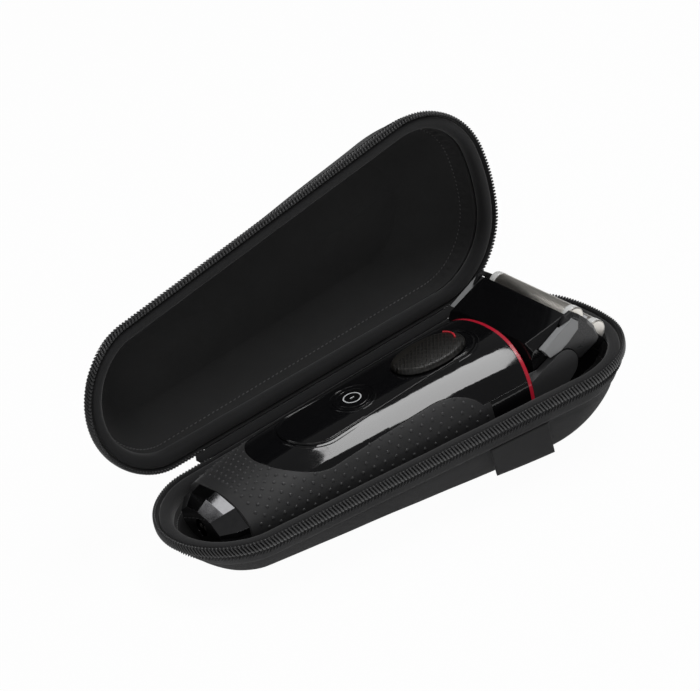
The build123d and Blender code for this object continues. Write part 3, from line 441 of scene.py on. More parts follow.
class Finish:
    """A material under construction."""

    def __init__(self, name, colour, roughness, **fixed):
        self.material = bpy.data.materials.new(name)
        self.material.use_nodes = True
        self.tree = self.material.node_tree
        self.shader = self.tree.nodes["Principled BSDF"]
        self.shader.inputs["Base Color"].default_value = (*colour, 1)
        self.shader.inputs["Roughness"].default_value = roughness
        for key, value in fixed.items():
            name = key.replace("_", " ").title().replace("Ior", "IOR")
            self.shader.inputs[name].default_value = value

    def node(self, kind, settings, inputs):
        """Adds a node: its settings first, then its sockets by order or by name."""
        node = self.tree.nodes.new(kind)
        for key, value in settings.items():
            setattr(node, key, value)
        for key, value in inputs.items() if isinstance(inputs, dict) else enumerate(inputs):
            socket = node.inputs[key]
            if isinstance(value, Value):
                self.tree.links.new(value.socket, socket)
            elif socket.type == "RGBA" and len(value) == 3:
                socket.default_value = (*value, 1)
            else:
                socket.default_value = value
        return node

    def value(self, kind, settings, inputs, output=0):
        return Value(self, self.node(kind, settings, inputs).outputs[output])

    def place(self, source="Object", turn=(0, 0, 0), scale=(1, 1, 1)):
        """Pattern coordinates, turned and scaled."""
        coordinates = self.value("ShaderNodeTexCoord", {}, [], source)
        inputs = {"Vector": coordinates, "Rotation": turn, "Scale": scale}
        return self.value("ShaderNodeMapping", {}, inputs)

    def axes(self, place):
        split = self.node("ShaderNodeSeparateXYZ", {}, [place])
        return [Value(self, split.outputs[i]) for i in range(3)]

    def speckle(self, scale, detail, place=None):
        """Cloudy noise, over the piece's own coordinates unless a place is given."""
        inputs = {"Vector": place or self.place(), "Scale": scale, "Detail": detail, "Roughness": 0.6}
        return self.value("ShaderNodeTexNoise", {}, inputs)

    def blend(self, mask, first, second):
        """A colour between two."""
        return self.value("ShaderNodeMix", {"data_type": "RGBA"}, {0: mask, 6: first, 7: second}, 2)

    def tint(self, mask, first, second):
        """Sets the base colour, between two."""
        self.feed("Base Color", self.blend(mask, first, second))

    def mottle(self, scale, detail, first, second):
        """Lets the base colour drift between two by a speckle, and returns the speckle."""
        pattern = self.speckle(scale, detail)
        self.tint(pattern, first, second)
        return pattern

    def feed(self, socket, value):
        self.tree.links.new(value.socket, self.shader.inputs[socket])

    def round_edges(self, radius):
        """Softens the look of sharp moulded edges."""
        edges = self.value("ShaderNodeBevel", {"samples": 6}, {"Radius": radius})
        self.feed("Normal", edges)
        return edges

    def relief(self, height, distance, strength, edge=None):
        """Raises the look of the surface, over rounded edges where their radius is given."""
        inputs = {"Strength": strength, "Distance": distance, "Height": height}
        if edge:
            inputs["Normal"] = self.round_edges(edge)
        self.feed("Normal", self.value("ShaderNodeBump", {}, inputs))


def toned(colour, factor, lift=0.0):
    return tuple(c * factor + lift for c in colour)


def weave(u, v):
    """Height of a plain weave whose threads are one unit wide."""
    warp = (u * pi).sine().size()
    weft = (v * pi).sine().size()
    parity = ((u.floor() + v.floor()) * 0.5).part() * 2
    over = warp.power(0.6) * (0.55 + 0.45 * weft) * parity
    return over + weft.power(0.6) * (0.55 + 0.45 * warp) * (1 - parity)


def cloth(name, colour, thread, depth, roughness=0.9, sheen=0.25):
    """Woven cloth: threads follow the piece's own UV map, in millimetres."""
    fixed = {"sheen_weight": sheen, "sheen_roughness": 0.45, "specular_ior_level": 0.25}
    finish = Finish(name, colour, roughness, **fixed)
    u, v, _ = finish.axes(finish.place("UV", scale=(1 / thread, 1 / thread, 1)))
    threads = weave(u, v)
    cloudy = finish.speckle(90, 4)
    fuzz = finish.speckle(2600, 2)
    # The threads' share of the tone lightens each thread's crown and darkens the gaps between threads,
    # which is painted shade in the weave. The cloudy and fuzz shares are random tone.
    tone = cloudy * 0.5 + threads * 0.35 + fuzz * 0.25 - 0.05
    finish.tint(tone, toned(colour, 0.62), toned(colour, 1.45))
    finish.feed("Roughness", cloudy * 0.1 + (roughness - 0.05))
    finish.relief(threads + fuzz * 0.6, depth, 0.8)
    return finish


def moulded(name, colour, roughness, grain, depth, edge=0.00025, **fixed):
    """Moulded plastic with a fine grain and soft edges."""
    finish = Finish(name, colour, roughness, **fixed)
    fine = finish.speckle(grain, 2)
    patchy = finish.mottle(60, 3, colour, toned(colour, 1.25, 0.004))
    finish.feed("Roughness", patchy * 0.08 + (roughness - 0.04) + fine * 0.04)
    finish.relief(fine, depth, 0.6, edge)
    return finish


def gloss(name, colour, roughness=0.06, edge=0.0003):
    """Polished moulding: faint waviness, dust-fine specks and bright edges."""
    finish = Finish(name, colour, roughness, specular_ior_level=0.5, coat_weight=0.2, coat_roughness=0.02)
    wavy = finish.mottle(35, 1, colour, toned(colour, 1.6, 0.001))
    finish.feed("Roughness", finish.speckle(1900, 2).ramp(0.55, 0.8) * 0.06 + roughness)
    finish.relief(wavy, 0.00003, 0.4, edge)
    return finish


def metal(name, colour, roughness, brush=(1, 1, 1)):
    """Brushed metal, with its lines drawn out where the brush scale is small."""
    finish = Finish(name, colour, roughness, metallic=1.0)
    lines = finish.speckle(900, 3, finish.place(scale=brush))
    finish.feed("Roughness", lines * 0.22 + (roughness - 0.11))
    finish.tint(lines, toned(colour, 0.8), colour)
    finish.relief(lines, 0.00001, 0.5, 0.0001)
    return finish


# ---- soft case pieces ----
def soft_noise(distance, turn, size, seed):
    """A smooth swell in the cloth, from -1 to 1, that closes on itself round the case."""
    point, _ = edge(distance)
    return noise.noise(Vector((point.x / size, point.y / size, turn * 40 / size + seed)))


def form_at(distance, turn, inset, floor, centre=0.0):
    """A point on the rounded form and the way out of it there."""
    spot = bowl(distance, turn, inset, floor, centre)
    nearby = bowl(distance + 0.5, turn, inset, floor, centre * 0.98)
    lower = bowl(distance, min(turn + 0.01, 1), inset, floor, centre + 0.01 if turn >= 1 else 0)
    out = (lower - spot).cross(nearby - spot)
    out = out.normalized() if out.length > 1e-6 else Vector((0, 0, -1))
    if out.dot(edge(distance)[1] - Vector((0, 0, 0.6))) < 0:
        out = out * -1
    return spot, out


def bowl_sheet(name, place, inset, floor, top, swell, columns, side_rows, floor_rows, thickness):
    """A closed sheet of cloth over one half of the case: its side wall and its flat bottom."""
    rows = side_rows + floor_rows
    split = side_rows / rows
    start = turn_at(top)

    def point(u, v):
        turn = start + (1 - start) * min(v / split, 1)
        centre = max(v - split, 0) / (1 - split)
        spot, out = form_at(u * LINE, turn, inset, floor, centre)
        return spot + out * swell(u * LINE, turn, centre)

    piece = wrapped_grid(name, columns, rows, lambda u, v: place @ point(u, v), (LINE, SHEET_MAP))
    mesh = piece.data
    back = place.inverted()
    for face in mesh.polygons:
        deepest = max(mesh.vertices[i].index // (columns + 1) for i in face.vertices)
        if deepest > side_rows:
            for loop in face.loop_indices:
                flat = back @ mesh.vertices[mesh.loops[loop].vertex_index].co
                mesh.uv_layers[0].data[loop].uv = flat.xy
    close_up(piece)
    thicken(piece, thickness, -1)
    return piece


def ring_sheet(name, place, section):
    """A closed roll of cloth round the mouth: section(distance, v) gives (inset, depth)."""

    def point(u, v):
        return place @ beside(u * LINE, *section(u * LINE, v))[0]

    return close_up(wrapped_grid(name, 300, 24, point, (LINE, ROLL_MAP)))


def cover_swell(distance, turn, centre):
    """The cover's cloth is drawn in under the zip tape and swells a little below it."""
    under_tape = 0.35 * exp(-(((turn - TAPE_EDGE_TURN) / 0.03) ** 2))
    return 0.22 * soft_noise(distance, turn, 22, 3) * (1 - centre) - under_tape


def lining_swell(distance, turn, centre):
    """The lining is stitched down below the lip, and puckers there round the wide end."""
    seam = exp(-(((turn - SEAM_TURN) / 0.018) ** 2))
    from_tip = abs(distance % LINE - HALF_LINE)
    reach = max(0.0, 1 - (from_tip / PUCKER_REACH) ** 4)
    ripple = abs(sin(distance / PUCKER_SPACING + 1.2 * soft_noise(distance, 0, 9, 5)))
    pucker = reach * (1 - ripple**0.6) * exp(-(((turn - SEAM_TURN + 0.045) / 0.032) ** 2))
    soft = 0.12 * soft_noise(distance, turn, 16, 7)
    return 0.28 * seam + get_look().case.pucker / MM * pucker + soft * (1 - centre)


def squared_off(value, power):
    """A sine or cosine made fuller, so that a round section gets soft corners."""
    return copysign(abs(value) ** power, value)


def lip_section(distance, v):
    """The lip's soft rolled section."""
    angle = tau * v
    across, high = squared_off(cos(angle), 0.8), squared_off(sin(angle), 0.8)
    soft = 1 + 0.035 * soft_noise(distance, v, 12, 11)
    depth = 3.75 - 2.85 * high * soft
    return 4.12 - 2.5 * across * soft - 1.2 * max(-across, 0) * (depth / LIP_BOTTOM) ** 2, depth


def tape_section(distance, v):
    """A flat strip that lies on the side wall from the coil down to its sewn lower edge."""
    outside = [(0.72, 1.0), (0.66, 3.4), (0.78, 8.0), (1.0, 11.75)]
    inside = [(1.6, 11.8), (1.45, 8.0), (1.36, 3.4), (1.36, 1.0)]
    run = outside + inside
    place = v * len(run)
    first = int(place) % len(run)
    (inset_a, depth_a), (inset_b, depth_b) = run[first], run[(first + 1) % len(run)]
    share = place - int(place)
    return inset_a + (inset_b - inset_a) * share, depth_a + (depth_b - depth_a) * share


# ---- things set along the zip line ----
def along(distance, inset, depth, place):
    """A frame on the side wall: x along it, y outwards, z up."""
    spot, out = beside(distance, inset, depth)
    return framed(place, spot, Vector((out.y, -out.x, 0)), out, Vector((0, 0, 1)))


def coil_loop(name, reach, height, wire, lean=0.55):
    """One turn of the nylon coil, wound round the tape's edge."""

    def point(u, v):
        a, b = tau * u, tau * v
        middle = Vector((lean * sin(a) * height, cos(a) * reach, sin(a) * height))
        out = Vector((0, cos(a) * height, sin(a) * reach)).normalized()
        return middle + (out * cos(b) + Vector((sin(b), 0, 0))) * wire

    return close_up(wrapped_grid(name, 14, 5, point))


def bead(name, length, radius):
    """A short rounded stitch of thread along x."""
    clear_selection()
    bpy.ops.mesh.primitive_uv_sphere_add(segments=6, ring_count=5, radius=1, rotation=(0, pi / 2, 0))
    piece = settle(bpy.context.object)
    piece.name = name
    piece.data.transform(Matrix.Diagonal((length / 2, radius, radius, 1)))
    bpy.ops.object.shade_smooth()
    return piece


# ---- properties ----
def colour_setting(name, description, default):
    return FloatVectorProperty(name=name, description=description, subtype="COLOR", default=default)


def length_setting(name, description, default):
    return FloatProperty(name=name, description=description, unit="LENGTH", default=default)


class CaseLook(bpy.types.PropertyGroup):
    cloth: colour_setting("Cover cloth", "Colour of the woven cover", (0.021, 0.021, 0.022))
    lining: colour_setting("Lining", "Colour of the knitted lining", (0.036, 0.036, 0.0365))
    lip: colour_setting("Lip", "Colour of the rolled binding", (0.024, 0.024, 0.025))
    coil: colour_setting("Coil", "Colour of the nylon zip coil", (0.032, 0.032, 0.033))
    coil_pitch: length_setting("Coil pitch", "Distance from one turn of the coil to the next", 0.00138)
    stitch_pitch: length_setting("Stitch pitch", "Distance between the lining's stitches", 0.0021)
    pucker: length_setting("Pucker", "Depth of the lining's creases at the wide end", 0.0009)


class ShaverLook(bpy.types.PropertyGroup):
    gloss: colour_setting("Gloss", "Colour of the polished covers", (0.0035, 0.0035, 0.004))
    rubber: colour_setting("Rubber", "Colour of the rubber grip", (0.03, 0.03, 0.031))
    red: colour_setting("Red trim", "Colour of the red trim line", (0.5, 0.01, 0.03))
    dot_pitch: length_setting("Dot pitch", "Distance between the grip's dots", 0.0046)
    dot_size: length_setting("Dot size", "Radius of one dot of the grip", 0.00068)
    mesh_pitch: length_setting("Foil mesh", "Distance between the foil's holes", 0.0005)


class StageLook(bpy.types.PropertyGroup):
    floor: colour_setting("Floor", "Colour of the floor", (0.9, 0.9, 0.9))
    key: FloatProperty(name="Key light", description="Power of the top light", unit="POWER", default=5.7)
    fill: FloatProperty(name="Fill light", description="Power of the low light", unit="POWER", default=2.8)
    sky: FloatProperty(name="Sky", description="Brightness of the surroundings", default=0.13)
    camera_place: FloatVectorProperty(
        name="Camera place", description="Where the camera stands", subtype="TRANSLATION",
        default=(-0.42609, -0.66728, 0.4563),
    )
    camera_turn: FloatVectorProperty(
        name="Camera turn", description="Which way the camera looks", subtype="EULER",
        default=(1.10080, 0.12071, -0.61408),
    )
    lens: FloatProperty(name="Lens", description="Focal length", unit="CAMERA", default=127.54)


class CaseSettings(bpy.types.PropertyGroup):
    case: PointerProperty(type=CaseLook)
    shaver: PointerProperty(type=ShaverLook)
    stage: PointerProperty(type=StageLook)


def get_look():
    return bpy.context.scene.shaver_case


# ---- operators: the case ----
class CASE_OT_cover(bpy.types.Operator):
    """Woven cloth over the moulded shell of both halves"""

    bl_idname = "shaver_case.cover"
    bl_label = "Cover"

    def execute(self, context):
        finish = cloth("Cover Cloth", get_look().case.cloth, 0.55, 0.00006)
        for half, place in HALVES:
            piece = bowl_sheet(
                half + "_cover", place, inset=1.5, floor=0, top=6.6, swell=cover_swell,
                columns=240, side_rows=26, floor_rows=10, thickness=2.1,
            )
            dress(piece, finish, "case_" + half, "case_fabric", half + "_shell")
        return {"FINISHED"}


class CASE_OT_lining(bpy.types.Operator):
    """Knitted lining with its stitched seam and the puckers round the wide end"""

    bl_idname = "shaver_case.lining"
    bl_label = "Lining"

    def execute(self, context):
        look = get_look().case
        finish = cloth("Lining Knit", look.lining, 0.4, 0.00002, 0.82, 0.12)
        thread = moulded("Lining Thread", (0.14, 0.14, 0.14), 0.7, 3000, 0.00003)
        for half, place in HALVES:
            piece = bowl_sheet(
                half + "_lining_knit", place, LINING_INSET, LINING_FLOOR, top=6.5, swell=lining_swell,
                columns=520, side_rows=44, floor_rows=10, thickness=-0.7,
            )
            dress(piece, finish, "case_" + half, "lining_fabric", half + "_lining")
            count = round(LINE / (look.stitch_pitch / MM))
            spots = [self.stitch_place(LINE * i / count, place) for i in range(count)]
            stitches = copied(bead("stitch", 1.4, 0.24), spots, half + "_lining_stitches")
            dress(stitches, thread, "case_" + half, "lining_fabric")
        return {"FINISHED"}

    def stitch_place(self, distance, place):
        """Where a stitch lies on the lining's seam, a little sunk into it."""
        spot, out = form_at(distance, SEAM_TURN, LINING_INSET, LINING_FLOOR)
        spot = spot + out * (lining_swell(distance, SEAM_TURN, 0) - 0.08)
        ahead, _ = form_at(distance + 0.5, SEAM_TURN, LINING_INSET, LINING_FLOOR)
        run = (ahead - spot).normalized()
        return framed(place, spot, run, out, run.cross(out))


class CASE_OT_lip(bpy.types.Operator):
    """Soft rolled lip round both mouths"""

    bl_idname = "shaver_case.lip"
    bl_label = "Lip"

    def execute(self, context):
        finish = cloth("Lip Binding", get_look().case.lip, 0.5, 0.00004, 0.85, 0.3)
        for half, place in HALVES:
            piece = ring_sheet(half + "_lip_roll", place, lip_section)
            dress(piece, finish, "case_" + half, "lip_fabric", half + "_lip")
        return {"FINISHED"}


class CASE_OT_zip(bpy.types.Operator):
    """Zip tapes, nylon coils, their sewing thread, the stops, the slider and its puller"""

    bl_idname = "shaver_case.zip"
    bl_label = "Zip"

    def execute(self, context):
        look = get_look().case
        tape = cloth("Zip Tape", look.cloth, 0.42, 0.00005, 0.85, 0.2)
        nylon = moulded("Coil Nylon", look.coil, 0.34, 2500, 0.000004, 0.0001)
        thread = cloth("Zip Thread", toned(look.cloth, 1.1), 0.2, 0.00002, 0.8, 0.2)
        enamel = moulded(
            "Black Enamel", (0.012, 0.012, 0.013), 0.24, 900, 0.000004, 0.0002, coat_weight=0.5
        )
        finish_nodes(enamel, "zip_slider", "zip_puller", "base_zip_stops", "lid_zip_stops")
        start, end = HINGE_TO + ZIP_END_GAP, HINGE_FROM + LINE - ZIP_END_GAP
        count = round((end - start) / (look.coil_pitch / MM))
        turns = [start + (end - start) * i / count for i in range(count + 1)]
        lean = Matrix.Rotation(radians(58), 4, "Y")
        for half, place in HALVES:
            body = "case_" + half
            strip = ring_sheet(half + "_tape_cloth", place, tape_section)
            dress(strip, tape, body, "zip_tape_fabric", half + "_zip_tape")
            spots = [along(distance, 0.4, 2.35, place) for distance in turns]
            coil = copied(coil_loop("turn", 0.3, 1.7, 0.5), spots, half + "_coil")
            dress(coil, nylon, body, "zip_coil", half + "_zip_teeth")
            spots = [along(distance, 0.62, 6.2, place) @ lean for distance in turns]
            chain = copied(bead("chain stitch", 3.3, 0.34), spots, half + "_coil_thread")
            dress(chain, thread, body, "zip_coil")
        return {"FINISHED"}


class CASE_OT_hinge(bpy.types.Operator):
    """Cloth hinge along the back"""

    bl_idname = "shaver_case.hinge"
    bl_label = "Hinge"

    def execute(self, context):
        finish = cloth("Hinge Cloth", get_look().case.cloth, 0.5, 0.00005)
        for half, place in HALVES:

            def point(u, v):
                distance = HINGE_FROM + (HINGE_TO - HINGE_FROM) * u
                angle = tau * v
                inset = 0.25 - 0.34 * cos(angle) + 0.05 * soft_noise(distance, v, 9, 13)
                return place @ beside(distance, inset, 6.45 + 5.5 * sin(angle))[0]

            strip = wrapped_grid(half + "_hinge_cloth", 120, 20, point, (HINGE_TO - HINGE_FROM, 22))
            dress(close_up(strip), finish, "case_" + half, "case_fabric", "hinge_strip_" + half)

        first, reach = HINGE_FROM - 5.5, HINGE_TO - HINGE_FROM + 17

        def fold_point(u, v):
            distance = first + reach * u
            near, far = [place @ beside(distance, 0.35, 0.75)[0] for _, place in HALVES]
            angle = tau * v
            middle, half = (near + far) / 2, (far - near) / 2
            size = 0 if u in (0.0, 1.0) else 1 + 0.05 * soft_noise(distance, 0, 5, 17)
            thick = (CASE.to_3x3() @ SIDE).cross(half).normalized() * 0.75 * MM
            return middle + (half * 1.22 * cos(angle) + thick * sin(angle)) * size

        fold = close_up(wrapped_grid("hinge_fold_cloth", 120, 18, fold_point, (reach, 7)))
        paint(fold, finish)
        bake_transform(fold)
        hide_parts("hinge_fold")
        return {"FINISHED"}


class CASE_OT_label(bpy.types.Operator):
    """Blank folded label sewn in under the zip"""

    bl_idname = "shaver_case.label"
    bl_label = "Label"

    def execute(self, context):
        finish = cloth("Label Cloth", (0.045, 0.045, 0.046), 0.35, 0.00003, 0.75, 0.15)
        start = LINE - distance_of(LABEL_X)

        def point(u, v):
            drop = 1 - abs(2 * v - 1)
            side = 0.15 * copysign(min(3 * drop, 1), 0.5 - v)
            spot, out = beside(start + LABEL_LENGTH * u, 1.15, 12.2)
            flare = (3.2 - 2.4 * u) * drop**1.4 + 0.25 * sin(3.1 * u) * drop
            hang = Vector((1.6 * (1 - u) * drop, 0, LABEL_DROP * drop))
            return CASE @ (spot + out * (flare + side) - hang)

        label = wrapped_grid("side_label", 36, 30, point, (LABEL_LENGTH, 22))
        thicken(close_up(label), 0.28, 0)
        dress(label, finish, "case_base", "label_fabric", "side_tag")
        return {"FINISHED"}


# ---- operators: the shaver ----
def slot_points(wide, narrow):
    """Plan points round the control panel, whose rounded ends narrow towards the head."""
    lean = degrees(asin((wide - narrow) / (2 * PANEL_X)))
    head_end = ring_points(PANEL_X, 0.0, narrow, 90 - lean, lean - 90, 28)
    return head_end + ring_points(-PANEL_X, 0.0, wide, lean - 90, -270 - lean, 28)


def ring_points(x, y, radius, start=0.0, end=360.0, steps=48):
    """Plan points of a ring, or of an arc with both its ends."""
    count = steps + (end - start < 360)
    angles = [radians(start + (end - start) * i / steps) for i in range(count)]
    return [(x + radius * cos(a), y + radius * sin(a)) for a in angles]


def line_on(skin, name, plan, radius, sink, closed=False):
    """A thin raised line that follows plan points over a surface."""
    hits = [skin.under(x, y) for x, y in plan]
    hits = [(point, normal) for point, normal in hits if point is not None]
    points, normals = zip(*hits)
    return laid_line(name, points, normals, radius * MM, sink * MM, closed)


class CASE_OT_covers(bpy.types.Operator):
    """Polished covers of the shaver's body, with the fine ridges round the control panel"""

    bl_idname = "shaver_case.covers"
    bl_label = "Gloss covers"

    def execute(self, context):
        look = get_look().shaver
        black = gloss("Piano Black", look.gloss)
        finish_nodes(black, "front_panel", "control_panel", "rear_housing", "power_button")
        foot = Finish(
            "Smoked Chrome", (0.13, 0.13, 0.135), 0.07, metallic=1.0, coat_weight=0.4, coat_roughness=0.03
        )
        haze = foot.mottle(300, 3, (0.1, 0.1, 0.105), (0.16, 0.16, 0.165))
        foot.feed("Roughness", haze * 0.05 + 0.05)
        foot.round_edges(0.0001)
        finish_nodes(foot, "end_cap")
        skin = Skin("front_panel", "control_panel", "power_button")
        rims = (
            (slot_points(12.4, 9.4), 0.3, 0.36),
            (slot_points(14.2, 11.2), 0.3, 0.4),
            (ring_points(KEY_X, 0.0, 8.6), 0.3, 0.42),
            (ring_points(KEY_X, 0.0, 6.0), 0.25, 0.4),
        )
        ridges = [line_on(skin, "ridge", plan, radius, sink, True) for plan, radius, sink in rims]
        dress(joined("panel_ridges", ridges), black, "shaver_body", "black_gloss")
        return {"FINISHED"}


class CASE_OT_power_mark(bpy.types.Operator):
    """Generic on-off mark on the power button"""

    bl_idname = "shaver_case.power_mark"
    bl_label = "Power mark"

    def execute(self, context):
        # The mark's emission makes it glow. This is a painted glow on a mark that holds no lamp.
        finish = Finish("Power Mark", (0.55, 0.56, 0.57), 0.35, emission_strength=0.25)
        finish.shader.inputs["Emission Color"].default_value = (0.6, 0.62, 0.64, 1)
        finish.mottle(900, 2, (0.45, 0.46, 0.47), (0.62, 0.63, 0.64))
        skin = Skin("power_button")
        marks = [
            line_on(skin, "mark", ring_points(KEY_X, 0.0, 3.2), 0.34, 0.58, True),
            line_on(skin, "mark", [(KEY_X + i * 0.22, 0.0) for i in range(-4, 5)], 0.3, 0.5),
        ]
        dress(joined("power_mark", marks), finish, "power_key", "button_grey")
        return {"FINISHED"}


class CASE_OT_grip(bpy.types.Operator):
    """Matte rubber grip with its small raised dots"""

    bl_idname = "shaver_case.grip"
    bl_label = "Grip"

    def execute(self, context):
        look = get_look().shaver
        finish = Finish("Grip Rubber", look.rubber, 0.55, specular_ior_level=0.45, sheen_weight=0.08)
        grain = finish.speckle(2600, 2)
        worn = finish.speckle(45, 4)
        tone = worn * 0.7 + grain * 0.3
        finish.tint(tone, toned(look.rubber, 0.8), toned(look.rubber, 1.3))
        finish.feed("Roughness", worn * 0.12 + 0.46)
        finish.relief(grain, 0.000012, 0.7, 0.0004)
        finish_nodes(finish, "rubber_grip")
        skin = Skin("rubber_grip")
        row_gap = look.dot_pitch / MM * 0.5
        spots = []
        for row in range(int(GRIP_LENGTH / row_gap)):
            middle = Vector((GRIP_X + row * row_gap, 0, GRIP_AXIS_Z))
            for column in range(DOT_COLUMNS):
                angle = tau * (column + 0.5 * (row % 2)) / DOT_COLUMNS
                spot = self.spot_on(skin, middle, Vector((0, cos(angle), sin(angle))))
                if spot is not None:
                    spots.append(spot)
        clear_selection()
        bpy.ops.mesh.primitive_ico_sphere_add(subdivisions=2, radius=1)
        dot = settle(bpy.context.object)
        bpy.ops.object.mode_set(mode="EDIT")
        bpy.ops.mesh.bisect(plane_co=(0, 0, -0.15), plane_no=(0, 0, 1), clear_inner=True)
        bpy.ops.object.mode_set(mode="OBJECT")
        bpy.ops.object.shade_smooth()
        size = look.dot_size
        dot.data.transform(Matrix.Diagonal((size, size, size * 0.62, 1)))
        # The dots are painted half again lighter than the rubber, as a painted highlight on each raised
        # dot.
        dot_painted_highlight = moulded("Grip Dots Painted Highlight", toned(look.rubber, 1.5), 0.38, 2600, 0.000006, 0.0001)
        dress(copied(dot, spots, "grip_dots"), dot_painted_highlight, "shaver_body", "grip_rubber")
        return {"FINISHED"}

    def spot_on(self, skin, middle, way):
        """Where a dot sits, or nothing where the rubber ends."""
        for aside in (Vector((1.2, 0, 0)), Vector((-1.2, 0, 0))):
            point, _ = skin.seen(middle + way * CLEAR + aside, way * -1)
            if point is None or (SHAVER.inverted() @ point - middle).length < 8:
                return None
        for turn in (0.07, -0.07):
            turned = Matrix.Rotation(turn, 3, "X") @ way
            point, _ = skin.seen(middle + turned * CLEAR, turned * -1)
            if point is None:
                return None
        point, normal = skin.seen(middle + way * CLEAR, way * -1)
        if point is None or normal.dot((SHAVER.to_3x3() @ way).normalized()) < 0.55:
            return None
        upright = normal.to_track_quat("Z", "Y").to_matrix().to_4x4()
        return Matrix.Translation(point - normal * 0.00006) @ upright


class CASE_OT_lock(bpy.types.Operator):
    """Ribbed head-lock slider with its red arc"""

    bl_idname = "shaver_case.lock"
    bl_label = "Head lock"

    def execute(self, context):
        finish = Finish("Lock Pad", (0.014, 0.0125, 0.011), 0.42)
        x, y, _ = finish.axes(finish.place(turn=(0, LEAN, 0)))
        ribs = ((x * 0.8 - y * 0.6) * (pi / (1.35 * MM))).sine().size().ramp(0.35, 0.7)
        rows = ((x * 0.6 + y * 0.8) * (pi / (2.5 * MM)) + x * 90).sine().size().ramp(0.2, 0.45)
        rows = rows * (y - x * 0.25).under(-0.0005)
        # The dashes are painted darker where the relief sinks them, as painted shade in the grooves, over
        # a random speckle.
        tone = ribs * rows * 0.75 + finish.speckle(1500, 2) * 0.3
        finish.tint(tone, (0.015, 0.0135, 0.011), (0.0025, 0.0023, 0.002))
        finish.relief(1 - ribs * rows, 0.0003, 0.8, 0.0003)
        skin = Skin("control_panel", "front_panel")
        back = SHAVER.inverted()
        inner, outer = 4.0, 7.5

        def point(u, v):
            """The panel's arch is measured on it at two places and carried on under the pad."""
            share, height = self.profile(v)
            x, y = [
                middle + reach * share * squared_off(way, 0.88)
                for middle, reach, way in zip(LOCK_MIDDLE, LOCK_REACH, (cos(tau * u), sin(tau * u)))
            ]
            near, far = [(back @ skin.under(x, side)[0]).z for side in (inner, outer)]
            arch = (near - far) * (inner**2 - y * y) / (outer**2 - inner**2)
            return SHAVER @ Vector((x, y, near + arch + height))

        pad = close_up(wrapped_grid("lock_pad", 72, 22, point))
        dress(pad, finish, "head_lock", "switch_grey", "lock_switch")
        red = Finish("Lock Arc Red", (0.75, 0.035, 0.05), 0.3)
        red.mottle(400, 2, (0.6, 0.02, 0.035), (0.85, 0.06, 0.08))
        arc = line_on(Skin("lock_pad"), "lock_arc", ring_points(28.4, 1.6, 6.0, -38, 38, 20), 0.4, 0.3)
        dress(arc, red, "head_lock", "red_trim")
        return {"FINISHED"}

    def profile(self, v):
        """Share of the pad's plan and height over the panel, from its crown round to under its middle."""
        rim, shoulder, foot = 0.87, 0.9, 0.28
        if v < 0.55:
            share = rim * v / 0.55
            return share, 2.3 + 0.45 * (1 - share * share)
        if v < 0.78:
            turn = pi / 2 * (v - 0.55) / 0.23
            return rim + (1 - rim) * sin(turn), shoulder + 1.51 * cos(turn)
        if v < 0.9:
            return 1.0, shoulder - (shoulder - foot) * (v - 0.78) / 0.12
        return (1 - v) / 0.1, foot


class CASE_OT_red_line(bpy.types.Operator):
    """Thin red line round the body's head end"""

    bl_idname = "shaver_case.red_line"
    bl_label = "Red line"

    def execute(self, context):
        look = get_look().shaver
        # The ring's emission makes it glow red, which is a painted glow. Its faces that look along the
        # body towards the head are painted near black as painted shade.
        finish = Finish("Red Trim", look.red, 0.18, coat_weight=0.8, emission_strength=0.12)
        way = finish.value("ShaderNodeTexCoord", {}, [], "Normal")
        ahead = tuple((SHAVER.to_3x3() @ Vector((1, 0, 0))).normalized())
        facing = finish.value("ShaderNodeVectorMath", {"operation": "DOT_PRODUCT"}, [way, ahead], 1)
        end = facing.over(0.8)
        red = finish.blend(finish.speckle(120, 2), toned(look.red, 0.7), look.red)
        finish.tint(end, red, (0.02, 0.002, 0.003))
        finish.feed("Emission Color", finish.blend(end, (0.9, 0.03, 0.07), (0.0, 0.0, 0.0)))
        finish.round_edges(0.00025)
        finish_nodes(finish, "trim_ring")
        return {"FINISHED"}


class CASE_OT_head(bpy.types.Operator):
    """Swivel head, its arms, covers and release buttons"""

    bl_idname = "shaver_case.head"
    bl_label = "Head"

    def execute(self, context):
        look = get_look().shaver
        black = gloss("Head Black", look.gloss, 0.07, 0.0004)
        finish_nodes(black, "head_frame", "cassette_frame")
        satin = moulded("Satin Grey", (0.062, 0.062, 0.064), 0.4, 1800, 0.000006, 0.0004)
        finish_nodes(satin, "yoke", "trimmer_slide")
        smoke = moulded("Smoke Grey", (0.018, 0.018, 0.019), 0.26, 1800, 0.000005, 0.0005)
        finish_nodes(smoke, "side_cover_left", "side_cover_right")
        button = moulded(
            "Button Grey", (0.3, 0.305, 0.31), 0.22, 1500, 0.000004, 0.0004, coat_weight=0.4
        )
        finish_nodes(button, "release_button_left", "release_button_right")
        return {"FINISHED"}


